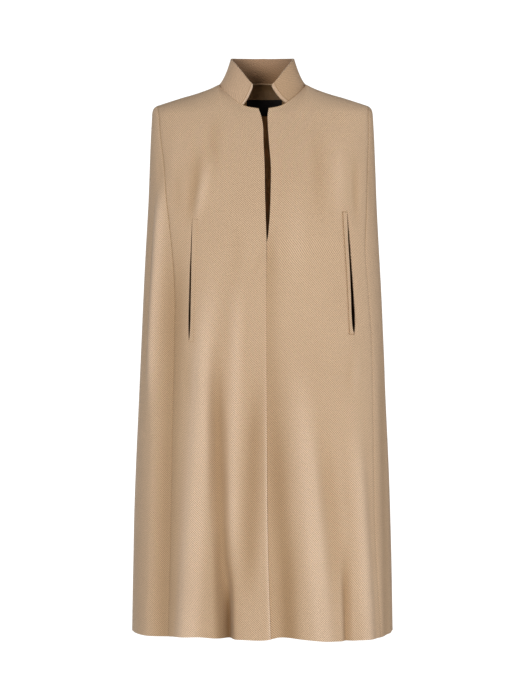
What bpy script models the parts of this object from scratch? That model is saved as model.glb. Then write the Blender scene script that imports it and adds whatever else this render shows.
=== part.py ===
"""A wool cape with a standing collar, arm slits and side panels, in its worn form with no wearer.

Units are metres. +X is the wearer's left, +Y the back and +Z up. The origin is the middle of
the neck, at the height where the shoulders begin. "Around" is the distance along a level
section of the garment from the centre front, positive towards the wearer's left.
"""

import functools
import math

import bmesh
import bpy
import numpy as np

# Cloth thicknesses and the clearances between pieces.
WOOL_WALL = 0.0024
COLLAR_WALL = 0.0036
LINING_WALL = 0.0010
WELT_WALL = 0.0015
LABEL_WALL = 0.0006
GAP = 0.0003
LINING_GAP = 0.0005
SEAM_STRIP = 0.0028
TIP_CLEARANCE = 0.0001

# Level sections of the body, superellipses from the shoulder ends down to the hem.
YOKE_HEIGHT = -0.062
HEM_HEIGHT = -1.034
RING_COLUMNS = ("height", "half_width", "front_depth", "back_depth", "squareness")
RINGS = (
    (-0.062, 0.2098, 0.0780, 0.0860, 2.80),
    (-0.100, 0.2118, 0.0940, 0.0960, 2.72),
    (-0.160, 0.2142, 0.1130, 0.1060, 2.60),
    (-0.220, 0.2162, 0.1240, 0.1110, 2.50),
    (-0.300, 0.2203, 0.1310, 0.1140, 2.42),
    (-0.410, 0.2262, 0.1360, 0.1180, 2.36),
    (-0.520, 0.2310, 0.1400, 0.1230, 2.32),
    (-0.640, 0.2352, 0.1450, 0.1300, 2.28),
    (-0.750, 0.2391, 0.1500, 0.1370, 2.25),
    (-0.860, 0.2422, 0.1550, 0.1450, 2.22),
    (-0.980, 0.2443, 0.1610, 0.1550, 2.20),
    (-1.034, 0.2450, 0.1640, 0.1600, 2.20),
)
RING_SAMPLES = 721

# Centre front edges: the right front laps over the left one below the open slit.
EDGE_COLUMNS = ("height", "right_x", "left_x")
FRONT_EDGES = (
    (-0.050, -0.0068, 0.0116),
    (-0.063, -0.0030, 0.0096),
    (-0.080, 0.0009, 0.0104),
    (-0.115, 0.0030, 0.0134),
    (-0.155, 0.0036, 0.0152),
    (-0.212, 0.0045, 0.0150),
    (-0.268, 0.0062, 0.0124),
    (-0.298, 0.0072, 0.0090),
    (-0.335, 0.0072, -0.0030),
    (-0.390, 0.0070, -0.0130),
    (-0.470, 0.0070, -0.0190),
    (-0.640, 0.0078, -0.0230),
    (-0.900, 0.0106, -0.0270),
    (-1.034, 0.0150, -0.0290),
)
LAP_COLUMNS = ("height", "set_in", "lift")
LAP = (
    (-0.235, 0.0000, 0.0000),
    (-0.285, 0.0036, 0.0002),
    (-0.400, 0.0038, 0.0008),
    (-0.600, 0.0040, 0.0018),
    (-0.800, 0.0046, 0.0032),
    (-1.034, 0.0060, 0.0050),
)
LAP_EASE = 0.022
EDGE_FLARE = 0.024
LIFT_REACH = 0.030

# Seams between the fronts and the side panels, and the side panels' width.
SEAM_COLUMNS = ("height", "right_x", "left_x", "side_width")
SIDE_SEAMS = (
    (-0.062, 0.1950, 0.1995, 0.096),
    (-0.100, 0.1916, 0.1995, 0.116),
    (-0.142, 0.1862, 0.1982, 0.138),
    (-0.188, 0.1812, 0.1966, 0.158),
    (-0.242, 0.1760, 0.1948, 0.178),
    (-0.300, 0.1705, 0.1925, 0.194),
    (-0.384, 0.1676, 0.1975, 0.205),
    (-0.464, 0.1686, 0.2035, 0.213),
    (-0.640, 0.1722, 0.2072, 0.230),
    (-0.750, 0.1736, 0.2090, 0.241),
    (-0.860, 0.1760, 0.2115, 0.252),
    (-0.950, 0.1780, 0.2165, 0.261),
    (-1.034, 0.1800, 0.2220, 0.268),
)

# Arm slits, each with one welt along its front edge.
SLIT_TOP = -0.252
SLIT_BOTTOM = -0.480
SLIT_TILT = 0.0075
SLIT_HALF_GAPS = {"right": 0.0042, "left": 0.0052}
SLIT_END_HALF_GAP = 0.0004
SLIT_COLUMNS = ("height", "right_x", "left_x")
SLITS = (
    (SLIT_TOP, 0.1277, 0.1568),
    (SLIT_BOTTOM, 0.1335, 0.1690),
)
WELT_WIDTH = 0.0105

# Shoulder ridge from the neck to the tip, where the side panel narrows to a point.
NECK_HALF_WIDTH = 0.082
NECK_FRONT = 0.073
NECK_BACK = 0.066
TIP_START = 0.1940
TIP_END = 0.1975
TIP_HALF_DEPTH = 0.0012
RIDGE_COLUMNS = ("out", "height")
RIDGE = (
    (0.0820, 0.0028),
    (0.0970, -0.0048),
    (0.1120, -0.0107),
    (0.1300, -0.0168),
    (0.1500, -0.0225),
    (0.1700, -0.0288),
    (0.1860, -0.0339),
    (0.1975, -0.0376),
)
# The neckline by its angle from the front: its height and how steeply the cloth leaves it.
NECKLINE_COLUMNS = ("angle", "height", "pitch")
NECKLINE = (
    (0, -0.0515, 68),
    (27, -0.0425, 62),
    (45, -0.0270, 46),
    (70, -0.0070, 18),
    (90, 0.0028, 0),
    (115, 0.0065, 8),
    (145, 0.0105, 26),
    (180, 0.0130, 44),
)
# How far the cloth turns sideways as it leaves the ridge, in degrees.
HEADINGS = ((0.100, 0), (0.170, 2), (TIP_START, 8), (TIP_END, 10))
RIDGE_FALL = 0.31
TOP_HANDLE = 0.38
YOKE_HANDLE = 0.33
PROFILE_SAMPLES = 61

# The standing collar, open at the front with ends that lean to the middle.
COLLAR_END_RIGHT = 0.0372
COLLAR_END_LEFT = 0.0442
COLLAR_TIP_RIGHT = 0.0172
COLLAR_TIP_LEFT = 0.0162
COLLAR_TOP_HALF_WIDTH = 0.0605
COLLAR_TOP_FRONT = 0.0640
COLLAR_TOP_BACK = 0.0575
COLLAR_TOP_COLUMNS = ("angle", "height")
COLLAR_TOP = (
    (0, -0.0160),
    (16, -0.0050),
    (45, 0.0262),
    (68, 0.0432),
    (90, 0.0508),
    (135, 0.0570),
    (180, 0.0590),
)
COLLAR_WAIST = 0.24
COLLAR_RISES = (0.0, 0.12, 0.36, 0.66, 1.0)

# Where the pieces' rows and columns lie.
NECK_FRONT_ANGLES = (42, 55, 69)
NECK_BACK_ANGLES = (108, 126, 144, 168)
YOKE_SHARES = (0.246, 0.47, 0.70)
LABEL_ROWS = (2, 4)
LINING_BOTTOM = -0.344
BODY_HEIGHTS = (
    YOKE_HEIGHT, -0.090, -0.125, -0.165, -0.210, SLIT_TOP, -0.298, LINING_BOTTOM, -0.390, -0.435,
    SLIT_BOTTOM, -0.535, -0.590, -0.645, -0.700, -0.755, -0.810, -0.865, -0.920, -0.970, -1.010,
    HEM_HEIGHT + SEAM_STRIP, HEM_HEIGHT,
)
SIDE_SHARES = (0.16, 0.33, 0.50, 0.67, 0.84)
BACK_OUTER_X = (0.108, 0.136, 0.163)

# The neck label, plain and bare.
LABEL_HALF_WIDTH = 0.0345

# The drape's folds. Each row: around at its start and at the hem or its end, half width, how far
# it stands out (less than 0 is a trough), and the heights where it starts, is full and ends.
FOLDS = (
    (-0.094, -0.141, 0.034, 0.0070, -0.30, -0.55, -1.20, -1.40),
    (-0.077, -0.066, 0.024, -0.0075, -0.34, -0.62, -1.20, -1.40),
    (-0.046, -0.058, 0.020, 0.0050, -0.32, -0.50, -0.78, -0.96),
    (-0.018, -0.042, 0.024, -0.0030, -0.50, -0.68, -0.86, -0.98),
    (-0.062, -0.064, 0.016, -0.0090, -0.86, -0.98, -1.20, -1.40),
    (-0.156, -0.172, 0.030, -0.0040, -0.24, -0.40, -0.74, -1.00),
    (-0.195, -0.236, 0.028, 0.0050, -0.16, -0.28, -0.46, -0.66),
    (-0.126, -0.140, 0.016, -0.0018, -0.10, -0.17, -0.22, -0.28),
    (0.020, 0.048, 0.026, -0.0040, -0.46, -0.80, -1.20, -1.40),
    (0.060, 0.112, 0.034, 0.0050, -0.48, -0.72, -1.20, -1.40),
    (0.108, 0.150, 0.028, -0.0028, -0.60, -0.76, -0.88, -1.00),
    (0.172, 0.208, 0.028, 0.0045, -0.58, -0.80, -1.20, -1.40),
    (0.158, 0.163, 0.015, -0.0060, -0.84, -0.97, -1.20, -1.40),
    (0.262, 0.276, 0.032, -0.0035, -0.40, -0.70, -1.20, -1.40),
    (0.330, 0.350, 0.036, 0.0060, -0.34, -0.70, -1.20, -1.40),
    (0.430, 0.445, 0.034, -0.0055, -0.42, -0.78, -1.20, -1.40),
    (0.520, 0.545, 0.040, 0.0060, -0.30, -0.66, -1.20, -1.40),
    (-0.560, -0.610, 0.036, -0.0055, -0.36, -0.70, -1.20, -1.40),
    (-0.480, -0.520, 0.036, 0.0065, -0.30, -0.68, -1.20, -1.40),
    (-0.410, -0.435, 0.030, -0.0055, -0.46, -0.82, -1.20, -1.40),
    (-0.318, -0.340, 0.036, 0.0060, -0.38, -0.74, -1.20, -1.40),
)

# The hem isn't quite level: how far it rises, by the distance around.
HEM_RISE_STARTS = -0.84
HEM_RISE_COLUMNS = ("around", "rise")
HEM_RISES = (
    (-0.620, 0.0000),
    (-0.300, 0.0005),
    (-0.210, 0.0010),
    (-0.165, 0.0038),
    (-0.120, 0.0055),
    (-0.085, 0.0030),
    (-0.040, 0.0020),
    (0.012, 0.0022),
    (0.030, 0.0058),
    (0.055, 0.0036),
    (0.085, 0.0006),
    (0.130, -0.0030),
    (0.185, -0.0040),
    (0.245, -0.0036),
    (0.310, -0.0010),
    (0.620, 0.0000),
)


def smooth(places, values, at):
    """A smooth curve through a short table, read at one place or at many."""
    places = np.asarray(places, float)
    values = np.asarray(values, float)
    if places[0] > places[-1]:
        places, values = places[::-1], values[::-1]
    slopes = np.gradient(values, places)
    at = np.clip(at, places[0], places[-1])
    low = np.clip(np.searchsorted(places, at) - 1, 0, len(places) - 2)
    step = places[low + 1] - places[low]
    t = (at - places[low]) / step
    rise = t * t * (3 - 2 * t)
    leave = t * (1 - t) ** 2 * step * slopes[low]
    arrive = t * t * (t - 1) * step * slopes[low + 1]
    return values[low] * (1 - rise) + values[low + 1] * rise + leave + arrive


def read(table, columns, name, at):
    """One named column of a table, read at a place in its first column."""
    places = [row[0] for row in table]
    values = [row[columns.index(name)] for row in table]
    return smooth(places, values, at)


def ease(value, start, end):
    """Goes from 0 at start to 1 at end, with no corner."""
    share = np.clip((value - start) / (end - start), 0, 1)
    return share * share * (3 - 2 * share)


@functools.lru_cache(maxsize=None)
def half_ring(height):
    """The wearer's left half of a level section, from front to back: x, y and around."""
    half_width, front, back, squareness = (
        float(read(RINGS, RING_COLUMNS, name, height)) for name in RING_COLUMNS[1:]
    )
    angle = np.linspace(0, math.pi, RING_SAMPLES)
    power = 2 / squareness
    across = np.abs(np.sin(angle)) ** power
    ahead = np.sign(np.cos(angle)) * np.abs(np.cos(angle)) ** power
    x = half_width * across
    y = -np.where(ahead > 0, front, back) * ahead
    steps = np.hypot(np.diff(x), np.diff(y))
    return x, y, np.concatenate([[0], np.cumsum(steps)])


def around_at(height, x):
    """Around for a point on the front half of a level section, from its x."""
    ring_x, _, around = half_ring(height)
    front = RING_SAMPLES // 2 + 1
    return math.copysign(float(np.interp(abs(x), ring_x[:front], around[:front])), x)


def half_girth(height):
    return float(half_ring(height)[2][-1])


def on_ring(height, around):
    """x and y of points on a level section; past the centre back, around goes on."""
    x, y, reach = half_ring(height)
    side = np.where(around < 0, -1.0, 1.0)
    distance = np.abs(around)
    past = distance > reach[-1]
    side = np.where(past, -side, side)
    distance = np.where(past, 2 * reach[-1] - distance, distance)
    return side * np.interp(distance, reach, x), np.interp(distance, reach, y)


def wrapped(around, girth):
    """The same place, counted the shorter way round from the centre front."""
    return (around + girth / 2) % girth - girth / 2


def hem_rise(height, around):
    place = wrapped(around, 2 * half_girth(height))
    rise = read(HEM_RISES, HEM_RISE_COLUMNS, "rise", place)
    return rise * ease(height, HEM_RISE_STARTS, HEM_HEIGHT)


def fold_depth(height, around):
    """How far the drape stands out of its level section."""
    girth = 2 * half_girth(height)
    total = np.zeros_like(around)
    for start, end, half_width, out, starts, full_from, full_to, ends in FOLDS:
        share = np.clip((height - starts) / (max(ends, HEM_HEIGHT) - starts), 0, 1)
        middle = start + (end - start) * share
        away = wrapped(around - middle, girth)
        bump = np.cos(np.clip(away / half_width, -1, 1) * math.pi / 2) ** 2
        strength = ease(height, starts, full_from) * (1 - ease(height, full_to, ends))
        total += out * strength * bump
    return total


def lap_depth(height, around, piece):
    """The left front's step inwards under the lap, or the right front's lift at its edge."""
    edge = around_at(height, float(read(FRONT_EDGES, EDGE_COLUMNS, "right_x", height)))
    if piece == "front_left_panel":
        set_in = float(read(LAP, LAP_COLUMNS, "set_in", height))
        return -set_in * (1 - ease(around, edge + 0.004, edge + 0.004 + LAP_EASE))
    if piece == "front_right_panel":
        lift = float(read(LAP, LAP_COLUMNS, "lift", height))
        return lift * ease(around, edge - LIFT_REACH, edge)
    return np.zeros_like(around)


def level_points(height, around, piece):
    """Points of one piece's outer face at one height."""
    x, y = on_ring(height, around)
    small = 0.0005
    ahead_x, ahead_y = on_ring(height, around + small)
    behind_x, behind_y = on_ring(height, around - small)
    run_x, run_y = ahead_x - behind_x, ahead_y - behind_y
    length = np.hypot(run_x, run_y)
    depth = fold_depth(height, around) + lap_depth(height, around, piece)
    x = x + depth * run_y / length
    y = y - depth * run_x / length
    return np.stack([x, y, height + hem_rise(height, around)], axis=-1)


def slit_half_gap(side, height):
    share = (SLIT_TOP - height) / (SLIT_TOP - SLIT_BOTTOM)
    if not 0 < share < 1:
        return SLIT_END_HALF_GAP
    opening = (SLIT_HALF_GAPS[side] - SLIT_END_HALF_GAP) * math.sin(math.pi * share) ** 0.7
    return SLIT_END_HALF_GAP + opening


def front_span(side, height):
    """Around of a front's centre edge and of its side seam; side is right or left."""
    sign = -1 if side == "right" else 1
    edge_x = float(read(FRONT_EDGES, EDGE_COLUMNS, side + "_x", height))
    seam_x = float(read(SIDE_SEAMS, SEAM_COLUMNS, side + "_x", height))
    return around_at(height, edge_x), around_at(height, sign * seam_x)


def back_seam(side, height):
    """Around of the seam between a side panel and the back."""
    width = float(read(SIDE_SEAMS, SEAM_COLUMNS, "side_width", height))
    seam = front_span(side, height)[1]
    return seam + math.copysign(width, seam)


def slit_share(side, height):
    """Where the arm slit lies, as a share of the way from the centre edge to the side seam."""
    height = min(max(height, SLIT_BOTTOM), SLIT_TOP)
    sign = -1 if side == "right" else 1
    slit_x = float(read(SLITS, SLIT_COLUMNS, side + "_x", height))
    edge, seam = front_span(side, height)
    return (around_at(height, sign * slit_x) - edge) / (seam - edge)


def yoke_share(side, out):
    """The share of a front's width that ends at this distance out along the shoulder."""
    edge, seam = front_span(side, YOKE_HEIGHT)
    seam_x = float(read(SIDE_SEAMS, SEAM_COLUMNS, side + "_x", YOKE_HEIGHT))
    sign = -1 if side == "right" else 1
    here = around_at(YOKE_HEIGHT, sign * out * seam_x / TIP_END)
    return (here - edge) / (seam - edge)


def front_columns(side):
    """Columns of a front from its centre edge: a share of the width, metres more and a tag."""
    slit = slit_share(side, SLIT_TOP)
    collar_end = COLLAR_END_RIGHT if side == "right" else COLLAR_END_LEFT
    angles = [math.radians(a) for a in NECK_FRONT_ANGLES]
    columns = [(0, 0, "edge"), (0, SEAM_STRIP, "strip")]
    columns += [(0.45 * yoke_share(side, collar_end), 0, "front")]
    columns += [(yoke_share(side, collar_end), 0, "collar end")]
    columns += [(yoke_share(side, NECK_HALF_WIDTH * math.sin(a)), 0, "neck") for a in angles]
    columns += [(yoke_share(side, NECK_HALF_WIDTH), 0, "shoulder")]
    columns += [(slit - 0.19, 0, "front"), (slit, -0.026, "front")]
    columns += [(slit, -WELT_WIDTH, "welt"), (slit, -1, "slit"), (slit, 1, "slit")]
    columns += [(slit, 0.013, "front"), (0.5 * (slit + 0.97), 0, "front")]
    columns += [(yoke_share(side, TIP_START), 0, "tip")]
    return columns + [(1, -SEAM_STRIP, "strip"), (1, 0, "seam")]


def front_around(side, columns, height):
    """Around of a front's columns at one height, from the wearer's right to the left."""
    edge, seam = front_span(side, height)
    sign = -1 if side == "right" else 1
    seam -= sign * GAP / 2
    base, here = slit_share(side, SLIT_TOP), slit_share(side, height)
    places = []
    for share, more, tag in columns:
        if share <= base:
            share = share * here / base
        else:
            share = 1 - (1 - share) * (1 - here) / (1 - base)
        more = more * slit_half_gap(side, height) if tag == "slit" else more
        places.append(edge + (seam - edge) * share + sign * more)
    return np.array(places if sign > 0 else places[::-1])


def side_around(side, height):
    """Around of a side panel's columns at one height, from its lower value to its higher."""
    front = front_span(side, height)[1]
    back = back_seam(side, height)
    low, high = min(front, back) + GAP / 2, max(front, back) - GAP / 2
    inner = [low + share * (high - low) for share in SIDE_SHARES]
    return np.array([low, low + SEAM_STRIP, *inner, high - SEAM_STRIP, high])


def back_columns():
    """Columns of the back as shares of its width, from the wearer's left seam to the right."""
    angles = [math.radians(a) for a in NECK_BACK_ANGLES]
    outs = [0.0, *(NECK_HALF_WIDTH * math.sin(a) for a in angles)]
    outs = sorted([*outs, LABEL_HALF_WIDTH, NECK_HALF_WIDTH, *BACK_OUTER_X, TIP_START])
    outs = [-out for out in outs[:0:-1]] + outs
    low, high = back_span(YOKE_HEIGHT)
    ring_x, _, around = half_ring(YOKE_HEIGHT)
    rear = RING_SAMPLES // 2
    shares = []
    for out in outs:
        x = out * back_seam_x(out) / TIP_END
        reach = np.interp(-abs(x), -ring_x[rear:], around[rear:])
        place = reach if x > 0 else 2 * around[-1] - reach
        shares.append((float(place) - low) / (high - low))
    return sorted(shares)


def back_span(height):
    """Around of the back's two seams; the wearer's right one is past the centre back."""
    return back_seam("left", height), 2 * half_girth(height) + back_seam("right", height)


def back_seam_x(x):
    """How far out the back's seam lies at the yoke, on the side where x is."""
    side = "left" if x > 0 else "right"
    return abs(float(on_ring(YOKE_HEIGHT, np.array([back_seam(side, YOKE_HEIGHT)]))[0][0]))


def back_around(shares, height):
    low, high = back_span(height)
    low, high = low + GAP / 2, high - GAP / 2
    inner = [low + share * (high - low) for share in shares]
    return np.array([low, low + SEAM_STRIP, *inner, high - SEAM_STRIP, high])


def along_ridge(x, to_back):
    """A point of the neckline or shoulder ridge, and the direction in which cloth leaves it."""
    out = abs(x)
    sign = 1 if to_back else -1
    if out < NECK_HALF_WIDTH:
        lean = math.asin(out / NECK_HALF_WIDTH)
        angle = 180 - math.degrees(lean) if to_back else math.degrees(lean)
        depth = NECK_BACK if to_back else NECK_FRONT
        height = float(read(NECKLINE, NECKLINE_COLUMNS, "height", angle))
        pitch = math.radians(float(read(NECKLINE, NECKLINE_COLUMNS, "pitch", angle)))
        point = (x, sign * depth * math.cos(lean), height)
        return np.array(point), np.array((0, sign * math.cos(pitch), -math.sin(pitch)))
    turn = math.radians(float(np.interp(out, *zip(*HEADINGS))))
    forward = max(0.0, (out - TIP_START) / (TIP_END - TIP_START))
    point = (x, sign * TIP_HALF_DEPTH * forward, float(read(RIDGE, RIDGE_COLUMNS, "height", out)))
    return np.array(point), tip_direction(math.copysign(1, x), turn, sign)


def tip_direction(side, turn, sign):
    sideways = math.sin(turn)
    way = np.array((side * sideways, sign * math.cos(turn), -RIDGE_FALL * sideways))
    return unit(way)


def over_tip(side, share):
    """The side panel's narrow top, from its front seam at 0 to its back seam at 1."""
    height = float(read(RIDGE, RIDGE_COLUMNS, "height", TIP_END))
    point = (side * (TIP_END + GAP / 2), -TIP_HALF_DEPTH * (1 - 2 * share), height)
    tip_heading = HEADINGS[-1][1]
    turn = math.radians(tip_heading + (180 - 2 * tip_heading) * float(ease(share, 0, 1)))
    return np.array(point), tip_direction(side, turn, -1)


def yoke_column(top, leaving, bottom, rising):
    """Points down one column from the ridge to the yoke height, on one Bezier curve."""
    length = np.linalg.norm(bottom - top)
    corners = (top, top + leaving * length * TOP_HANDLE, bottom + rising * length * YOKE_HANDLE, bottom)
    t = np.linspace(0, 1, PROFILE_SAMPLES)[:, None]
    weights = ((1 - t) ** 3, 3 * t * (1 - t) ** 2, 3 * t * t * (1 - t), t ** 3)
    curve = sum(weight * corner for weight, corner in zip(weights, corners))
    run = np.linalg.norm(np.diff(curve, axis=0), axis=1)
    run = np.concatenate([[0], np.cumsum(run)])
    stops = [GAP / 2, SEAM_STRIP, *(SEAM_STRIP + s * (run[-1] - SEAM_STRIP) for s in YOKE_SHARES)]
    return np.stack([np.interp(stops, run, curve[:, axis]) for axis in range(3)], axis=-1)


def panel_points(piece, around_of, top_of):
    """The grid of a body piece's outer face, its rows from the top down."""
    lower = [level_points(height, around_of(height), piece) for height in BODY_HEIGHTS]
    small = 0.012
    below = level_points(YOKE_HEIGHT - small, around_of(YOKE_HEIGHT - small), piece)
    upper = []
    for column, (bottom, under) in enumerate(zip(lower[0], below)):
        top, leaving = top_of(column, bottom)
        upper.append(yoke_column(top, leaving, bottom, unit(bottom - under)))
    return np.concatenate([np.swapaxes(np.array(upper), 0, 1), np.array(lower)])


def front_points(side):
    columns = front_columns(side)
    seam_x = float(read(SIDE_SEAMS, SEAM_COLUMNS, side + "_x", YOKE_HEIGHT))
    top_x, yoke_x = (
        float(read(FRONT_EDGES, EDGE_COLUMNS, side + "_x", height))
        for height in (FRONT_EDGES[0][0], YOKE_HEIGHT)
    )

    def top_of(column, bottom):
        flare = (top_x - yoke_x) * (1 - ease(abs(bottom[0] - yoke_x), 0, EDGE_FLARE))
        out = min(abs(bottom[0] * TIP_END / seam_x + flare), TIP_END)
        return along_ridge(math.copysign(out, bottom[0] + flare), to_back=False)

    points = panel_points(
        f"front_{side}_panel", lambda height: front_around(side, columns, height), top_of
    )
    return tilted(points, side)


def tilted(points, side):
    """The arm slits don't hang quite level: one front's rows drop a little, the other's rise."""
    window = ease(points[..., 2], -0.062, SLIT_TOP) * ease(points[..., 2], -0.80, SLIT_BOTTOM)
    share = np.linspace(0, 1, points.shape[1])
    drop = SLIT_TILT if side == "right" else -SLIT_TILT
    points[..., 2] -= drop * window * np.sin(math.pi * share)
    return points


def side_points(side):
    sign = -1 if side == "right" else 1
    span = front_span(side, YOKE_HEIGHT)[1], back_seam(side, YOKE_HEIGHT)
    places = side_around(side, YOKE_HEIGHT)

    def top_of(column, bottom):
        share = (places[column] - span[0]) / (span[1] - span[0])
        return over_tip(sign, share)

    return panel_points(f"side_{side}_panel", lambda height: side_around(side, height), top_of)


def back_points():
    shares = back_columns()

    def top_of(column, bottom):
        out = min(abs(bottom[0]) * TIP_END / back_seam_x(bottom[0]), TIP_END)
        return along_ridge(math.copysign(out, bottom[0]), to_back=True)

    return panel_points("back_panel", lambda height: back_around(shares, height), top_of)


def unit(vectors):
    return vectors / np.linalg.norm(vectors, axis=-1, keepdims=True)


def press_seam(first, second):
    """Lays a strip on each side of a seam in one plane, as pressing does.

    The clearance grows a little where the cloth turns tightly over the shoulder tip.
    """
    half_gap = np.full((len(first), 1), GAP / 2)
    half_gap[1:2 + len(YOKE_SHARES)] += TIP_CLEARANCE
    across = unit(unit(first[:, -1] - first[:, -3]) + unit(second[:, 2] - second[:, 0]))
    first_width = np.linalg.norm(first[:, -1] - first[:, -2], axis=-1, keepdims=True)
    second_width = np.linalg.norm(second[:, 1] - second[:, 0], axis=-1, keepdims=True)
    middle = (first[:, -1] + second[:, 0]) / 2
    first[:, -1] = middle - across * half_gap
    second[:, 0] = middle + across * half_gap
    first[:, -2] = first[:, -1] - across * first_width
    second[:, 1] = second[:, 0] + across * second_width


def outward(points):
    """Unit normals of a grid whose rows run down and whose columns run round to the left."""
    down = np.gradient(points, axis=0)
    along = np.gradient(points, axis=1)
    return unit(np.cross(down, along))


def moved_out(points, distance):
    return points + outward(points) * distance


def collar_points(front_right, back, front_left):
    """The collar's outer face: its base follows the neckline of the three body pieces."""
    base = np.concatenate([front_left[:-1], back, front_right[1:]])
    lean = np.degrees(np.arctan2(np.abs(base[:, 0]) / NECK_HALF_WIDTH, -base[:, 1] / NECK_FRONT))
    ends = {1: (COLLAR_TIP_LEFT, lean[0]), -1: (COLLAR_TIP_RIGHT, lean[-1])}
    rows = []
    for rise in COLLAR_RISES:
        row = []
        for point, angle in zip(base, lean):
            side = 1 if point[0] >= 0 else -1
            tip, first = ends[side]
            tip_angle = math.degrees(math.asin(tip / COLLAR_TOP_HALF_WIDTH))
            top_angle = angle + (tip_angle - first) * (1 - float(ease(angle, first, 90)))
            row.append(collar_point(point, side, math.radians(top_angle), rise))
        rows.append(row)
    return np.array(rows[::-1])


def collar_point(base, side, angle, rise):
    depth = COLLAR_TOP_FRONT if math.cos(angle) > 0 else COLLAR_TOP_BACK
    top = np.array((
        side * COLLAR_TOP_HALF_WIDTH * abs(math.sin(angle)),
        -depth * math.cos(angle),
        float(read(COLLAR_TOP, COLLAR_TOP_COLUMNS, "height", math.degrees(angle))),
    ))
    start = base + np.array((0, 0, GAP))
    waist = 0.5 * (start + top)
    waist[2] = start[2] + COLLAR_WAIST * (top[2] - start[2])
    return start * (1 - rise) ** 2 + waist * 2 * rise * (1 - rise) + top * rise ** 2


def make_material(name, colour, roughness):
    material = bpy.data.materials.new(name)
    material.use_nodes = True
    shader = material.node_tree.nodes["Principled BSDF"]
    shader.inputs["Base Color"].default_value = (*colour, 1)
    shader.inputs["Roughness"].default_value = roughness
    material.diffuse_color = (*colour, 1)
    return material


def make_cloth(name, points, wall, material, collection, opening=None):
    """An open grid bent to its points, with its thickness on the inner side.

    opening is the first and last row and the column of faces to leave out.
    """
    rows, columns = points.shape[:2]
    cloth = bmesh.new()
    grid = bmesh.ops.create_grid(cloth, x_segments=columns - 1, y_segments=rows - 1, size=0.5)
    for vertex, place in zip(grid["verts"], points[::-1].reshape(-1, 3)):
        vertex.co = place
    if opening:
        first, last, column = opening
        cloth.faces.ensure_lookup_table()
        cut = [cloth.faces[(rows - 2 - row) * (columns - 1) + column] for row in range(first, last)]
        bmesh.ops.delete(cloth, geom=cut, context="FACES")
    mesh = bpy.data.meshes.new(name)
    cloth.to_mesh(mesh)
    cloth.free()
    mesh.shade_smooth()
    mesh.materials.append(material)
    piece = bpy.data.objects.new(name, mesh)
    collection.objects.link(piece)
    solidify = piece.modifiers.new("Wall", "SOLIDIFY")
    solidify.thickness = wall
    solidify.offset = -1
    return piece


def slit_cells(side):
    """The rows and the column of faces that an arm slit leaves open."""
    above = 2 + len(YOKE_SHARES)
    tags = [tag for _, _, tag in front_columns(side)]
    column = tags.index("slit")
    if side == "right":
        column = len(tags) - 2 - column
    return above + BODY_HEIGHTS.index(SLIT_TOP), above + BODY_HEIGHTS.index(SLIT_BOTTOM), column


def welt_points(panel, side):
    """A strip of the front beside its arm slit, lifted clear of it."""
    first, last, column = slit_cells(side)
    start = column + 1 if side == "right" else column - 1
    lifted = moved_out(panel, GAP + WELT_WALL)
    return lifted[first:last + 1, start:start + 2]


def build():
    for obj in list(bpy.data.objects):
        bpy.data.objects.remove(obj)
    cape = bpy.data.collections.new("wool cape")
    bpy.context.scene.collection.children.link(cape)
    wool = make_material("camel wool", (0.58, 0.41, 0.27), 0.85)
    side_wool = make_material("camel wool side", (0.50, 0.35, 0.23), 0.85)
    collar_wool = make_material("camel wool collar", (0.54, 0.37, 0.24), 0.85)
    lining = make_material("brown lining", (0.06, 0.035, 0.02), 0.45)
    black = make_material("black tape", (0.01, 0.01, 0.01), 0.6)

    fronts = {side: front_points(side) for side in ("right", "left")}
    sides = {side: side_points(side) for side in ("right", "left")}
    back = back_points()
    ring = (fronts["left"], sides["left"], back, sides["right"], fronts["right"])
    for first, second in zip(ring, ring[1:]):
        press_seam(first, second)
    for side, points in fronts.items():
        make_cloth(f"front_{side}_panel", points, WOOL_WALL, wool, cape, slit_cells(side))
        make_cloth(f"side_{side}_panel", sides[side], WOOL_WALL, side_wool, cape)
        make_cloth(f"welt_{side}", welt_points(points, side), WELT_WALL, collar_wool, cape)
    make_cloth("back_panel", back, WOOL_WALL, wool, cape)

    tags = [tag for _, _, tag in front_columns("left")]
    end, shoulder = tags.index("collar end"), tags.index("shoulder")
    outer = len(BACK_OUTER_X) + 3
    collar = collar_points(
        fronts["right"][0, len(tags) - 1 - shoulder:len(tags) - end],
        back[0, outer:back.shape[1] - outer],
        fronts["left"][0, end:shoulder + 1],
    )
    make_cloth("collar", collar, COLLAR_WALL, collar_wool, cape)

    bottom = 2 + len(YOKE_SHARES) + BODY_HEIGHTS.index(LINING_BOTTOM)
    lining_depth = WOOL_WALL + LINING_GAP
    lined = moved_out(back, -lining_depth)[1:bottom + 1, 2:-2]
    make_cloth("back_lining", lined, LINING_WALL, lining, cape)
    middle = back.shape[1] // 2
    taped = moved_out(back, -(lining_depth + LINING_WALL + GAP))
    taped = taped[LABEL_ROWS[0]:LABEL_ROWS[1] + 1, middle - 2:middle + 3]
    make_cloth("neck_label", taped, LABEL_WALL, black, cape)


build()
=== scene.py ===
import functools
import math

import bpy
import numpy as np
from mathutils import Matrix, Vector, noise


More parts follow.
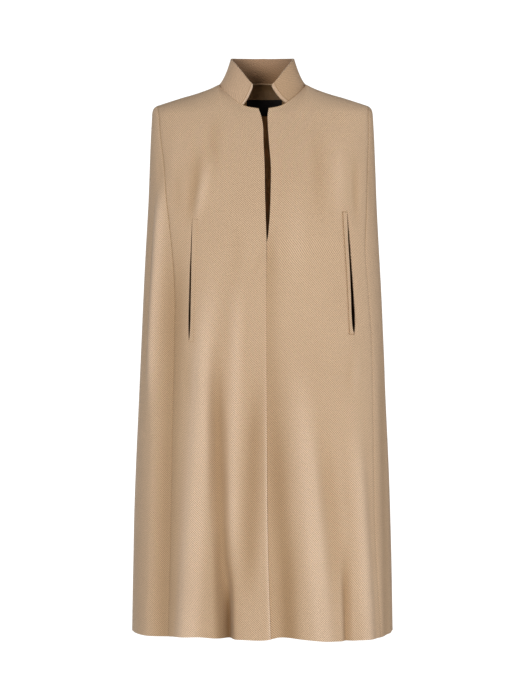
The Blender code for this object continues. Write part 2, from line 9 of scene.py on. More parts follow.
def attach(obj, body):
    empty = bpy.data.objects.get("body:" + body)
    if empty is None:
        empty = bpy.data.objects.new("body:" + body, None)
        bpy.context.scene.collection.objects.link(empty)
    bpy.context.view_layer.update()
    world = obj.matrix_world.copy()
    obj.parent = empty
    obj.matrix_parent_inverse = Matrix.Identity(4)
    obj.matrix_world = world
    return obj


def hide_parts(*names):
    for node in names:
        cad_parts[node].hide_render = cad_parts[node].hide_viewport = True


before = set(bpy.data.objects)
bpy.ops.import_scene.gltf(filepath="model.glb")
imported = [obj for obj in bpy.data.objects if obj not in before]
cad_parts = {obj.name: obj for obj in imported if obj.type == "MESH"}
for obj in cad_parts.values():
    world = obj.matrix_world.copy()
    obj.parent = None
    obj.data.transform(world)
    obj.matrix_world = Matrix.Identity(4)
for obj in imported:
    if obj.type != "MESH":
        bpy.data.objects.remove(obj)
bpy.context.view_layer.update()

# The cape's cut and worn form, in metres, close to the values its solids have. "Around" is the
# distance along a level section from the centre front, positive towards the wearer's left.
WOOL_WALL = 0.0024
COLLAR_WALL = 0.0036
LINING_WALL = 0.0010
WELT_WALLS = {"right": 0.0006, "left": 0.0016}
LABEL_WALL = 0.0006
SEAM_GAP = 0.0001
LINING_GAP = 0.0005
SEAM_STRIP = 0.0028

SIGNS = {"right": -1, "left": 1}
YOKE_HEIGHT = -0.062
HEM_HEIGHT = -1.034
RING_COLUMNS = ("height", "half_width", "front_depth", "back_depth", "squareness")
RINGS = (
    (-0.062, 0.2098, 0.0780, 0.0860, 2.80),
    (-0.100, 0.2118, 0.0940, 0.0960, 2.72),
    (-0.160, 0.2142, 0.1130, 0.1060, 2.60),
    (-0.220, 0.2162, 0.1240, 0.1110, 2.50),
    (-0.300, 0.2203, 0.1310, 0.1140, 2.42),
    (-0.410, 0.2262, 0.1360, 0.1180, 2.36),
    (-0.520, 0.2310, 0.1400, 0.1230, 2.32),
    (-0.640, 0.2352, 0.1450, 0.1300, 2.28),
    (-0.750, 0.2391, 0.1500, 0.1370, 2.25),
    (-0.860, 0.2422, 0.1550, 0.1450, 2.22),
    (-0.980, 0.2443, 0.1610, 0.1550, 2.20),
    (-1.034, 0.2450, 0.1640, 0.1600, 2.20),
)
RING_SAMPLES = 1441
SMALL_STEP = 0.0005

EDGE_COLUMNS = ("height", "right_x", "left_x")
FRONT_EDGES = (
    (-0.050, -0.0068, 0.0116),
    (-0.063, -0.0030, 0.0096),
    (-0.080, 0.0004, 0.0098),
    (-0.115, 0.0017, 0.0120),
    (-0.155, 0.0036, 0.0152),
    (-0.212, 0.0045, 0.0150),
    (-0.268, 0.0062, 0.0124),
    (-0.298, 0.0072, 0.0090),
    (-0.335, 0.0072, -0.0030),
    (-0.390, 0.0070, -0.0130),
    (-0.470, 0.0070, -0.0190),
    (-0.640, 0.0078, -0.0230),
    (-0.900, 0.0106, -0.0270),
    (-1.034, 0.0150, -0.0290),
)
LAP_COLUMNS = ("height", "set_in", "lift")
LAP = (
    (-0.235, 0.0000, 0.0000),
    (-0.285, 0.0032, 0.0001),
    (-0.400, 0.0029, 0.0001),
    (-0.600, 0.0029, 0.0002),
    (-0.800, 0.0030, 0.0003),
    (-1.034, 0.0032, 0.0004),
)
LAP_FLAT = 0.004
LAP_EASE = 0.022
EDGE_FLARE = 0.024
LIFT_REACH = 0.030

SEAM_COLUMNS = ("height", "right_x", "left_x", "side_width")
SIDE_SEAMS = (
    (-0.062, 0.1950, 0.1995, 0.096),
    (-0.100, 0.1916, 0.1995, 0.116),
    (-0.142, 0.1862, 0.1982, 0.138),
    (-0.188, 0.1812, 0.1966, 0.158),
    (-0.242, 0.1760, 0.1948, 0.178),
    (-0.300, 0.1705, 0.1925, 0.194),
    (-0.384, 0.1676, 0.1975, 0.205),
    (-0.464, 0.1686, 0.2035, 0.213),
    (-0.640, 0.1722, 0.2072, 0.230),
    (-0.750, 0.1736, 0.2090, 0.241),
    (-0.860, 0.1760, 0.2115, 0.252),
    (-0.950, 0.1780, 0.2165, 0.261),
    (-1.034, 0.1800, 0.2220, 0.268),
)

SLIT_TOP = -0.252
SLIT_BOTTOM = -0.480
SLIT_TILT = 0.0075
TILT_ENDS = -0.80
SLIT_END_HALF_GAP = 0.0004
SLIT_GAP_COLUMNS = ("share", "right", "left")
SLIT_HALF_GAPS = (
    (0.00, 0.0004, 0.0008),
    (0.20, 0.0010, 0.0025),
    (0.45, 0.0020, 0.0032),
    (0.70, 0.0026, 0.0042),
    (0.87, 0.0025, 0.0045),
    (0.96, 0.0015, 0.0030),
    (1.00, 0.0004, 0.0004),
)
SLIT_COLUMNS = ("height", "right_x", "left_x")
SLITS = (
    (SLIT_TOP, 0.1300, 0.1570),
    (-0.400, 0.1348, 0.1664),
    (SLIT_BOTTOM, 0.1364, 0.1698),
)
WELT_WIDTH = 0.0105
# Where a front's other columns lie: shares of its width, and metres beside the slit.
HALF_COLLAR = 0.45
CHEST_SHARE = 0.19
SEAM_SHARE = 0.97
BESIDE_WELT = 0.026
BESIDE_SLIT = 0.013

NECK_HALF_WIDTH = 0.082
NECK_FRONT = 0.073
NECK_BACK = 0.066
TIP_START = 0.1940
TIP_END = 0.1975
TIP_HALF_DEPTH = 0.0012
RIDGE_COLUMNS = ("out", "height")
RIDGE = (
    (0.0820, 0.0028),
    (0.0970, -0.0048),
    (0.1120, -0.0107),
    (0.1300, -0.0168),
    (0.1500, -0.0225),
    (0.1700, -0.0288),
    (0.1860, -0.0339),
    (0.1975, -0.0376),
)
NECKLINE_COLUMNS = ("angle", "height", "pitch")
NECKLINE = (
    (0, -0.0515, 68),
    (27, -0.0425, 62),
    (45, -0.0270, 46),
    (70, -0.0070, 18),
    (90, 0.0028, 0),
    (115, 0.0065, 8),
    (145, 0.0105, 26),
    (180, 0.0130, 44),
)
HEADINGS = ((0.100, 0), (0.170, 2), (TIP_START, 8), (TIP_END, 10))
RIDGE_FALL = 0.31
TOP_HANDLE = 0.38
YOKE_HANDLE = 0.33
YOKE_TANGENT = 0.012
TIP_FULLNESS = 0.35
CURVE_SAMPLES = 241

COLLAR_ENDS = {"right": 0.0372, "left": 0.0442}
COLLAR_TIPS = {"right": 0.0172, "left": 0.0162}
COLLAR_TOP_HALF_WIDTH = 0.0605
COLLAR_TOP_FRONT = 0.0640
COLLAR_TOP_BACK = 0.0575
COLLAR_TOP_COLUMNS = ("angle", "height")
COLLAR_TOP = (
    (0, -0.0160),
    (16, -0.0050),
    (45, 0.0262),
    (68, 0.0432),
    (90, 0.0508),
    (135, 0.0570),
    (180, 0.0590),
)
COLLAR_WAIST = 0.24
COLLAR_CORNER = 0.10
CORNER_ROUNDING = 0.16
CORNER_DRAWN_IN = 0.12

NECK_FRONT_ANGLES = (42, 55, 69)
NECK_BACK_ANGLES = (108, 126, 144, 168)
LINING_BOTTOM = -0.344
BODY_HEIGHTS = (
    YOKE_HEIGHT, -0.090, -0.125, -0.165, -0.210, SLIT_TOP, -0.298, LINING_BOTTOM, -0.390, -0.435,
    SLIT_BOTTOM, -0.535, -0.590, -0.645, -0.700, -0.755, -0.810, -0.865, -0.920, -0.970, -1.010,
    HEM_HEIGHT + SEAM_STRIP, HEM_HEIGHT,
)
SIDE_SHARES = (0.16, 0.33, 0.50, 0.67, 0.84)
BACK_OUTER_X = (0.108, 0.136, 0.163)
LABEL_HALF_WIDTH = 0.0345

# The drape's folds: around at the start and at the hem or end, half width, how far out, and the
# heights where each starts, is full and ends.
FOLDS = (
    (-0.094, -0.141, 0.034, 0.0070, -0.30, -0.55, -1.20, -1.40),
    (-0.094, -0.070, 0.024, -0.0072, -0.40, -0.64, -1.20, -1.40),
    (-0.046, -0.058, 0.020, 0.0038, -0.32, -0.50, -0.78, -0.96),
    (-0.010, -0.027, 0.026, -0.0050, -0.50, -0.68, -0.86, -1.00),
    (-0.070, -0.072, 0.044, -0.0034, -0.80, -0.92, -1.20, -1.40),
    (-0.064, -0.065, 0.015, -0.0105, -0.88, -1.01, -1.20, -1.40),
    (-0.168, -0.198, 0.044, -0.0060, -0.26, -0.44, -1.20, -1.40),
    (-0.195, -0.236, 0.024, 0.0056, -0.16, -0.28, -0.46, -0.66),
    (-0.126, -0.140, 0.016, -0.0018, -0.10, -0.17, -0.22, -0.28),
    (0.020, 0.046, 0.028, -0.0056, -0.46, -0.80, -1.20, -1.40),
    (0.052, 0.058, 0.026, -0.0032, -0.78, -0.92, -1.20, -1.40),
    (0.060, 0.112, 0.034, 0.0050, -0.48, -0.72, -1.20, -1.40),
    (0.108, 0.150, 0.028, -0.0028, -0.60, -0.76, -0.88, -1.00),
    (0.172, 0.208, 0.028, 0.0045, -0.58, -0.80, -1.20, -1.40),
    (0.159, 0.163, 0.014, -0.0068, -0.84, -0.96, -1.20, -1.40),
    (0.262, 0.276, 0.032, -0.0035, -0.40, -0.70, -1.20, -1.40),
    (0.330, 0.350, 0.036, 0.0042, -0.34, -0.70, -1.20, -1.40),
    (0.430, 0.445, 0.034, -0.0055, -0.42, -0.78, -1.20, -1.40),
    (0.520, 0.545, 0.040, 0.0060, -0.30, -0.66, -1.20, -1.40),
    (-0.560, -0.610, 0.036, -0.0055, -0.36, -0.70, -1.20, -1.40),
    (-0.480, -0.520, 0.036, 0.0065, -0.30, -0.68, -1.20, -1.40),
    (-0.410, -0.435, 0.030, -0.0055, -0.46, -0.82, -1.20, -1.40),
    (-0.318, -0.340, 0.036, 0.0030, -0.38, -0.74, -1.20, -1.40),
)
# The cloth falls deeper in its front folds than the plain solids do.
FOLD_GAIN = 0.6
GAIN_FADES = (0.22, 0.26)
HEM_RISE_STARTS = -0.84
HEM_RISE_COLUMNS = ("around", "rise")
HEM_RISES = (
    (-0.620, 0.0000),
    (-0.300, 0.0005),
    (-0.210, 0.0010),
    (-0.165, 0.0038),
    (-0.120, 0.0055),
    (-0.085, 0.0030),
    (-0.040, 0.0020),
    (0.012, 0.0022),
    (0.030, 0.0058),
    (0.055, 0.0036),
    (0.085, 0.0006),
    (0.130, -0.0030),
    (0.185, -0.0040),
    (0.245, -0.0036),
    (0.310, -0.0010),
    (0.620, 0.0000),
)

# Smaller creases, each from one place to another: around and height at the start, around
# and height at the end, half width and how far out.
CREASES = (
    (-0.110, -0.100, -0.141, -0.272, 0.013, -0.0026),
    (-0.095, -0.125, -0.126, -0.275, 0.015, 0.0026),
    (-0.162, -0.110, -0.158, -0.270, 0.014, -0.0012),
    (-0.124, -0.500, -0.106, -0.590, 0.012, 0.0009),
    (-0.146, -0.490, -0.140, -0.600, 0.014, -0.0010),
    (-0.086, -0.050, -0.096, -0.185, 0.022, -0.0020),
    (-0.158, -0.070, -0.168, -0.220, 0.020, 0.0012),
    (0.100, -0.060, 0.108, -0.290, 0.024, -0.0018),
    (0.142, -0.090, 0.146, -0.290, 0.020, 0.0018),
    (0.176, -0.120, 0.182, -0.290, 0.013, -0.0024),
    (-0.045, -0.240, -0.052, -0.420, 0.020, -0.0010),
    (0.060, -0.180, 0.064, -0.400, 0.026, 0.0010),
    (0.186, -0.500, 0.176, -0.600, 0.013, 0.0010),
    (0.170, -0.495, 0.158, -0.610, 0.012, -0.0008),
    (0.006, -0.300, -0.022, -0.372, 0.010, -0.0007),
    (0.022, -0.290, 0.038, -0.372, 0.010, 0.0006),
    (-0.196, -0.110, -0.205, -0.240, 0.016, -0.0009),
    (0.216, -0.110, 0.226, -0.260, 0.016, -0.0009),
    (0.300, -0.120, 0.292, -0.300, 0.020, -0.0010),
    (-0.296, -0.120, -0.288, -0.300, 0.020, -0.0010),
    (0.400, -0.160, 0.410, -0.330, 0.022, -0.0010),
    (-0.400, -0.160, -0.410, -0.330, 0.022, -0.0010),
    (0.470, -0.130, 0.500, -0.260, 0.020, 0.0008),
    (-0.470, -0.130, -0.505, -0.270, 0.020, 0.0008),
)
SLACK = 0.0007
SLACK_SCALES = (7.0, 7.0, 4.2)
SLACK_SEED = 3.7
SLACK_GROWS = (0.05, 0.20)
FINE_SLACK = 0.4
FINER = 2.4

# How finely the pieces are made. The columns are spaced evenly at the grid height.
GRID_HEIGHT = -0.42
COLUMN_STEP = 0.0042
ROW_STEP = 0.0056
HEM_ROWS = 3
CAP_STEPS = 26
# Painted shade in the folds' hollows, full at this depth and darker still past DEEP_FROM, with a
# painted highlight on their ridges.
TROUGH_FULL = 0.012
DEEP_FROM = 0.020
DEEP_DARK = 0.9
RIDGE_HIGHLIGHT = -0.55
CREASE_WEIGHT = 2.0
STRIP_SHARES = (0.0, 0.28, 0.6, 1.0)


def smooth(places, values, at):
    """A smooth curve through a short table, read at one place or at many."""
    places = np.asarray(places, float)
    values = np.asarray(values, float)
    if places[0] > places[-1]:
        places, values = places[::-1], values[::-1]
    slopes = np.gradient(values, places)
    at = np.clip(at, places[0], places[-1])
    low = np.clip(np.searchsorted(places, at) - 1, 0, len(places) - 2)
    step = places[low + 1] - places[low]
    t = (at - places[low]) / step
    rise = t * t * (3 - 2 * t)
    leave = t * (1 - t) ** 2 * step * slopes[low]
    arrive = t * t * (t - 1) * step * slopes[low + 1]
    return values[low] * (1 - rise) + values[low + 1] * rise + leave + arrive


def read(table, columns, name, at):
    """One named column of a table, read at a place in its first column."""
    places = [row[0] for row in table]
    values = [row[columns.index(name)] for row in table]
    return smooth(places, values, at)


def number_at(table, columns, name, at):
    return float(read(table, columns, name, at))


def ease(value, start, end):
    """Goes from 0 at start to 1 at end, with no corner."""
    share = np.clip((value - start) / (end - start), 0, 1)
    return share * share * (3 - 2 * share)


def unit(vectors):
    return vectors / np.maximum(np.linalg.norm(vectors, axis=-1, keepdims=True), 1e-12)


def run(points, axis):
    """The distance of each point of a grid or line from its first one along an axis."""
    steps = np.linalg.norm(np.diff(points, axis=axis), axis=-1)
    start = np.zeros_like(np.take(steps, [0], axis=axis))
    return np.concatenate([start, np.cumsum(steps, axis=axis)], axis=axis)


def resampled(line, places, at):
    """A line's points, known at some places, read at others."""
    return np.stack([np.interp(at, places, line[:, axis]) for axis in range(3)], axis=-1)


def bump(away, half_width):
    """A round hump, 1 at its crest and 0 from its half width on."""
    return np.cos(np.clip(away / half_width, -1, 1) * math.pi / 2) ** 2


def line_at(away, width):
    """A soft line, 1 along its middle."""
    return np.exp(-((away / width) ** 2))


@functools.lru_cache(maxsize=None)
def half_ring(height):
    """The wearer's left half of a level section, from front to back: x, y and around."""
    half_width, front, back, squareness = (
        number_at(RINGS, RING_COLUMNS, name, height) for name in RING_COLUMNS[1:]
    )
    angle = np.linspace(0, math.pi, RING_SAMPLES)
    power = 2 / squareness
    across = np.abs(np.sin(angle)) ** power
    ahead = np.sign(np.cos(angle)) * np.abs(np.cos(angle)) ** power
    x = half_width * across
    y = -np.where(ahead > 0, front, back) * ahead
    return x, y, run(np.stack([x, y], axis=-1), 0)


def around_at(height, x):
    """Around for a point on the front half of a level section, from its x."""
    ring_x, _, around = half_ring(height)
    front = RING_SAMPLES // 2 + 1
    return math.copysign(float(np.interp(abs(x), ring_x[:front], around[:front])), x)


def half_girth(height):
    return float(half_ring(height)[2][-1])


def on_ring(height, around):
    """x and y of points on a level section; past the centre back, around goes on."""
    x, y, reach = half_ring(height)
    side = np.where(around < 0, -1.0, 1.0)
    distance = np.abs(around)
    past = distance > reach[-1]
    side = np.where(past, -side, side)
    distance = np.where(past, 2 * reach[-1] - distance, distance)
    return side * np.interp(distance, reach, x), np.interp(distance, reach, y)


def wrapped(around, girth):
    """The same place, counted the shorter way round from the centre front."""
    return (around + girth / 2) % girth - girth / 2


def hem_rise(height, around):
    place = wrapped(around, 2 * half_girth(height))
    rise = read(HEM_RISES, HEM_RISE_COLUMNS, "rise", place)
    return rise * ease(height, HEM_RISE_STARTS, HEM_HEIGHT)


def fold_depth(height, around):
    """How far the drape stands out of its level section."""
    girth = 2 * half_girth(height)
    total = np.zeros_like(around)
    for start, end, half_width, out, starts, full_from, full_to, ends in FOLDS:
        share = np.clip((height - starts) / (max(ends, HEM_HEIGHT) - starts), 0, 1)
        away = wrapped(around - (start + (end - start) * share), girth)
        grown = ease(height, starts, full_from) * (1 - ease(height, full_to, ends))
        total += out * grown * bump(away, half_width)
    return total * (1 + FOLD_GAIN * (1 - ease(np.abs(wrapped(around, girth)), *GAIN_FADES)))


def crease_depth(height, around):
    """The small creases, each fading at both ends."""
    girth = 2 * half_girth(height)
    total = np.zeros_like(around)
    for start, top, end, bottom, half_width, out in CREASES:
        share = (height - top) / (bottom - top)
        if not 0 < share < 1:
            continue
        away = wrapped(around - (start + (end - start) * share), girth)
        total += out * math.sin(math.pi * share) ** 1.5 * bump(away, half_width)
    return total


def lap_depth(height, around, piece):
    """The left front's step inwards under the lap, or the right front's lift at its edge."""
    edge = around_at(height, number_at(FRONT_EDGES, EDGE_COLUMNS, "right_x", height))
    if piece == "front_left":
        set_in = number_at(LAP, LAP_COLUMNS, "set_in", height)
        return -set_in * (1 - ease(around, edge + LAP_FLAT, edge + LAP_FLAT + LAP_EASE))
    if piece == "front_right":
        lift = number_at(LAP, LAP_COLUMNS, "lift", height)
        return lift * ease(around, edge - LIFT_REACH, edge)
    return np.zeros_like(around)


def level_points(height, around, piece):
    """Points of one piece's outer face at one height."""
    x, y = on_ring(height, around)
    ahead_x, ahead_y = on_ring(height, around + SMALL_STEP)
    behind_x, behind_y = on_ring(height, around - SMALL_STEP)
    run_x, run_y = ahead_x - behind_x, ahead_y - behind_y
    length = np.hypot(run_x, run_y)
    depth = fold_depth(height, around) + crease_depth(height, around)
    depth = depth + lap_depth(height, around, piece)
    x = x + depth * run_y / length
    y = y - depth * run_x / length
    return np.stack([x, y, height + hem_rise(height, around)], axis=-1)


def slit_half_gap(side, height):
    share = (SLIT_TOP - height) / (SLIT_TOP - SLIT_BOTTOM)
    if not 0 < share < 1:
        return SLIT_END_HALF_GAP
    return number_at(SLIT_HALF_GAPS, SLIT_GAP_COLUMNS, side, share)


def front_span(side, height):
    """Around of a front's centre edge and of its side seam; side is right or left."""
    sign = SIGNS[side]
    edge_x = number_at(FRONT_EDGES, EDGE_COLUMNS, side + "_x", height)
    seam_x = number_at(SIDE_SEAMS, SEAM_COLUMNS, side + "_x", height)
    return around_at(height, edge_x), around_at(height, sign * seam_x)


def back_seam(side, height):
    """Around of the seam between a side panel and the back."""
    width = number_at(SIDE_SEAMS, SEAM_COLUMNS, "side_width", height)
    seam = front_span(side, height)[1]
    return seam + math.copysign(width, seam)


def slit_share(side, height):
    """Where the arm slit lies, as a share of the way from the centre edge to the side seam."""
    height = min(max(height, SLIT_BOTTOM), SLIT_TOP)
    sign = SIGNS[side]
    slit_x = number_at(SLITS, SLIT_COLUMNS, side + "_x", height)
    edge, seam = front_span(side, height)
    return (around_at(height, sign * slit_x) - edge) / (seam - edge)


def yoke_share(side, out):
    """The share of a front's width that ends at this distance out along the shoulder."""
    edge, seam = front_span(side, YOKE_HEIGHT)
    seam_x = number_at(SIDE_SEAMS, SEAM_COLUMNS, side + "_x", YOKE_HEIGHT)
    sign = SIGNS[side]
    here = around_at(YOKE_HEIGHT, sign * out * seam_x / TIP_END)
    return (here - edge) / (seam - edge)


def front_columns(side):
    """Columns of a front from its centre edge: a share of the width, metres more and a tag."""
    slit = slit_share(side, SLIT_TOP)
    collar_end = COLLAR_ENDS[side]
    angles = [math.radians(a) for a in NECK_FRONT_ANGLES]
    columns = [(0, 0, "edge"), (0, SEAM_STRIP, "strip")]
    columns += [(HALF_COLLAR * yoke_share(side, collar_end), 0, "front")]
    columns += [(yoke_share(side, collar_end), 0, "collar end")]
    columns += [(yoke_share(side, NECK_HALF_WIDTH * math.sin(a)), 0, "neck") for a in angles]
    columns += [(yoke_share(side, NECK_HALF_WIDTH), 0, "shoulder")]
    columns += [(slit - CHEST_SHARE, 0, "front"), (slit, -BESIDE_WELT, "front")]
    columns += [(slit, -WELT_WIDTH, "welt"), (slit, -1, "slit"), (slit, 1, "slit")]
    columns += [(slit, BESIDE_SLIT, "front"), (0.5 * (slit + SEAM_SHARE), 0, "front")]
    columns += [(yoke_share(side, TIP_START), 0, "tip")]
    return columns + [(1, -SEAM_STRIP, "strip"), (1, 0, "seam")]


def front_around(side, columns, height):
    """Around of a front's columns at one height, from the wearer's right to the left."""
    edge, seam = front_span(side, height)
    sign = SIGNS[side]
    seam -= sign * SEAM_GAP / 2
    base, here = slit_share(side, SLIT_TOP), slit_share(side, height)
    places = []
    for share, more, tag in columns:
        if share <= base:
            share = share * here / base
        else:
            share = 1 - (1 - share) * (1 - here) / (1 - base)
        more = more * slit_half_gap(side, height) if tag == "slit" else more
        places.append(edge + (seam - edge) * share + sign * more)
    return np.array(places if sign > 0 else places[::-1])


def side_around(side, height):
    """Around of a side panel's columns at one height, from its lower value to its higher."""
    front = front_span(side, height)[1]
    back = back_seam(side, height)
    low, high = min(front, back) + SEAM_GAP / 2, max(front, back) - SEAM_GAP / 2
    inner = [low + share * (high - low) for share in SIDE_SHARES]
    return np.array([low, low + SEAM_STRIP, *inner, high - SEAM_STRIP, high])


def back_span(height):
    """Around of the back's two seams; the wearer's right one is past the centre back."""
    return back_seam("left", height), 2 * half_girth(height) + back_seam("right", height)


def back_seam_x(x):
    """How far out the back's seam lies at the yoke, on the side where x is."""
    side = "left" if x > 0 else "right"
    return abs(float(on_ring(YOKE_HEIGHT, np.array([back_seam(side, YOKE_HEIGHT)]))[0][0]))


def back_columns():
    """Columns of the back as shares of its width, from the wearer's left seam to the right."""
    angles = [math.radians(a) for a in NECK_BACK_ANGLES]
    outs = [0.0, *(NECK_HALF_WIDTH * math.sin(a) for a in angles)]
    outs = sorted([*outs, LABEL_HALF_WIDTH, NECK_HALF_WIDTH, *BACK_OUTER_X, TIP_START])
    outs = [-out for out in outs[:0:-1]] + outs
    low, high = back_span(YOKE_HEIGHT)
    ring_x, _, around = half_ring(YOKE_HEIGHT)
    rear = RING_SAMPLES // 2
    shares = []
    for out in outs:
        x = out * back_seam_x(out) / TIP_END
        reach = np.interp(-abs(x), -ring_x[rear:], around[rear:])
        place = reach if x > 0 else 2 * around[-1] - reach
        shares.append((float(place) - low) / (high - low))
    return sorted(shares)


def back_around(shares, height):
    low, high = back_span(height)
    low, high = low + SEAM_GAP / 2, high - SEAM_GAP / 2
    inner = [low + share * (high - low) for share in shares]
    return np.array([low, low + SEAM_STRIP, *inner, high - SEAM_STRIP, high])


def tip_direction(side, turn, sign):
    sideways = math.sin(turn)
    return unit(np.array((side * sideways, sign * math.cos(turn), -RIDGE_FALL * sideways)))


def along_ridge(x, to_back):
    """A point of the neckline or shoulder ridge, and the direction in which cloth leaves it."""
    out = abs(x)
    sign = 1 if to_back else -1
    if out < NECK_HALF_WIDTH:
        lean = math.asin(out / NECK_HALF_WIDTH)
        angle = 180 - math.degrees(lean) if to_back else math.degrees(lean)
        depth = NECK_BACK if to_back else NECK_FRONT
        height = number_at(NECKLINE, NECKLINE_COLUMNS, "height", angle)
        pitch = math.radians(number_at(NECKLINE, NECKLINE_COLUMNS, "pitch", angle))
        point = (x, sign * depth * math.cos(lean), height)
        return np.array(point), np.array((0, sign * math.cos(pitch), -math.sin(pitch)))
    turn = math.radians(float(np.interp(out, *zip(*HEADINGS))))
    forward = max(0.0, (out - TIP_START) / (TIP_END - TIP_START))
    point = (x, sign * TIP_HALF_DEPTH * forward, number_at(RIDGE, RIDGE_COLUMNS, "height", out))
    return np.array(point), tip_direction(math.copysign(1, x), turn, sign)


def over_tip(side, share):
    """The side panel's narrow top, from its front seam at 0 to its back seam at 1."""
    height = number_at(RIDGE, RIDGE_COLUMNS, "height", TIP_END)
    point = (side * (TIP_END + SEAM_GAP / 2), -TIP_HALF_DEPTH * (1 - 2 * share), height)
    tip_heading = HEADINGS[-1][1]
    turn = math.radians(tip_heading + (180 - 2 * tip_heading) * float(ease(share, 0, 1)))
    fullness = 1 + TIP_FULLNESS * math.sin(math.pi * share)
    return np.array(point), tip_direction(side, turn, -1) * fullness


def cap_column(top, leaving, bottom, rising):
    """Points down one column from the ridge to the yoke height, on one Bezier curve."""
    length = np.linalg.norm(bottom - top)
    handles = top + leaving * length * TOP_HANDLE, bottom + rising * length * YOKE_HANDLE
    corners = (top, *handles, bottom)
    t = np.linspace(0, 1, CURVE_SAMPLES)[:, None]
    weights = ((1 - t) ** 3, 3 * t * (1 - t) ** 2, 3 * t * t * (1 - t), t ** 3)
    curve = sum(weight * corner for weight, corner in zip(weights, corners))
    reach = run(curve, 0)
    first = [SEAM_GAP / 2 + share * SEAM_STRIP for share in STRIP_SHARES]
    rest = [first[-1] + (reach[-1] - first[-1]) * n / CAP_STEPS for n in range(1, CAP_STEPS)]
    return resampled(curve, reach, first + rest)


def finer(stops, step, single=()):
    """Where the finer columns lie among the coarse ones, as an index with decimals.

    single is the index of a gap that stays one column wide.
    """
    places = []
    for index, width in enumerate(np.abs(np.diff(stops))):
        if index in single:
            shares = [0.0]
        elif width < SEAM_STRIP * 1.05 and index in (0, len(stops) - 2):
            shares = [1 - s for s in STRIP_SHARES[:0:-1]] if index else list(STRIP_SHARES[:-1])
            shares = sorted(shares)
        else:
            count = max(1, math.ceil(width / step))
            shares = [n / count for n in range(count)]
        places += [index + share for share in shares]
    return np.array(places + [len(stops) - 1])


def body_heights():
    heights = [BODY_HEIGHTS[0]]
    for upper, lower in zip(BODY_HEIGHTS, BODY_HEIGHTS[1:]):
        count = max(1, math.ceil((upper - lower) / ROW_STEP))
        if lower == HEM_HEIGHT:
            count = HEM_ROWS
        heights += [upper + (lower - upper) * (n + 1) / count for n in range(count)]
    return heights


HEIGHTS = body_heights()
CAP_ROWS = len(STRIP_SHARES) + CAP_STEPS - 1


def row_at(height):
    """The row of a panel's grid at a height of the body."""
    return CAP_ROWS + int(np.argmin(np.abs(np.array(HEIGHTS) - height)))


def panel_points(piece, around_of, top_of, places):
    """The grid of a body piece's outer face, rows from the top down, and its painted fold shade.
    """
    def along(height):
        stops = around_of(height)
        return np.interp(places, np.arange(len(stops)), stops)

    lower = [level_points(height, along(height), piece) for height in HEIGHTS]
    under_yoke = YOKE_HEIGHT - YOKE_TANGENT
    below = level_points(under_yoke, along(under_yoke), piece)
    upper = []
    for column, (bottom, under) in enumerate(zip(lower[0], below)):
        top, leaving = top_of(column, bottom)
        upper.append(cap_column(top, leaving, bottom, unit(bottom - under)))
    depths = np.array([
        fold_depth(height, along(height)) + CREASE_WEIGHT * crease_depth(height, along(height))
        for height in HEIGHTS
    ])
    # Painted shade where the folds fall in, painted highlight where they stand out.
    painted_fold_shade = np.clip(-depths / TROUGH_FULL, RIDGE_HIGHLIGHT, 1)
    painted_fold_shade += np.clip((-depths - DEEP_FROM) / TROUGH_FULL, 0, DEEP_DARK)
    painted_fold_shade = np.concatenate([np.zeros((CAP_ROWS, len(places))), painted_fold_shade])
    return np.concatenate([np.swapaxes(np.array(upper), 0, 1), np.array(lower)]), painted_fold_shade


def front_places(side):
    """The finer columns of a front, the index of its slit's column and of the tagged ones."""
    columns = front_columns(side)
    tags = [tag for _, _, tag in columns]
    if side == "right":
        tags = tags[::-1]
    slit = tags.index("slit")
    places = finer(front_around(side, columns, GRID_HEIGHT), COLUMN_STEP, single=(slit,))
    found = {tag: int(np.argmin(np.abs(places - tags.index(tag)))) for tag in set(tags)}
    return columns, places, found


def front_points(side):
    columns, places, _ = front_places(side)
    seam_x = number_at(SIDE_SEAMS, SEAM_COLUMNS, side + "_x", YOKE_HEIGHT)
    top_x, yoke_x = (
        number_at(FRONT_EDGES, EDGE_COLUMNS, side + "_x", height)
        for height in (FRONT_EDGES[0][0], YOKE_HEIGHT)
    )

    def top_of(column, bottom):
        flare = (top_x - yoke_x) * (1 - ease(abs(bottom[0] - yoke_x), 0, EDGE_FLARE))
        out = min(abs(bottom[0] * TIP_END / seam_x + flare), TIP_END)
        return along_ridge(math.copysign(out, bottom[0] + flare), to_back=False)

    points, painted_fold_shade = panel_points(
        f"front_{side}", lambda height: front_around(side, columns, height), top_of, places
    )
    return tilted(points, side), painted_fold_shade


def tilted(points, side):
    """The arm slits don't hang quite level: one front's rows drop a little, the other's rise."""
    height = points[..., 2]
    window = ease(height, YOKE_HEIGHT, SLIT_TOP) * ease(height, TILT_ENDS, SLIT_BOTTOM)
    columns, places, _ = front_places(side)
    share = places / (len(columns) - 1)
    drop = -SIGNS[side] * SLIT_TILT
    points[..., 2] -= drop * window * np.sin(math.pi * share)
    return points


def side_points(side):
    sign = SIGNS[side]
    stops = side_around(side, GRID_HEIGHT)
    places = finer(stops, COLUMN_STEP)
    span = front_span(side, YOKE_HEIGHT)[1], back_seam(side, YOKE_HEIGHT)
    yoke = side_around(side, YOKE_HEIGHT)
    yoke = np.interp(places, np.arange(len(yoke)), yoke)

    def top_of(column, bottom):
        return over_tip(sign, (yoke[column] - span[0]) / (span[1] - span[0]))

    return panel_points(f"side_{side}", lambda height: side_around(side, height), top_of, places)


def back_places():
    shares = back_columns()
    return shares, finer(back_around(shares, GRID_HEIGHT), COLUMN_STEP)


def back_points():
    shares, places = back_places()

    def top_of(column, bottom):
        out = min(abs(bottom[0]) * TIP_END / back_seam_x(bottom[0]), TIP_END)
        return along_ridge(math.copysign(out, bottom[0]), to_back=True)

    return panel_points("back", lambda height: back_around(shares, height), top_of, places)


def outward(points):
    """Unit normals of a grid whose rows run down and whose columns run round to the left."""
    down = np.gradient(points, axis=0)
    along = np.gradient(points, axis=1)
    return unit(np.cross(down, along))


def moved_out(points, distance):
    return points + outward(points) * distance


JOIN_ROOM = (0.0003, 0.0008)


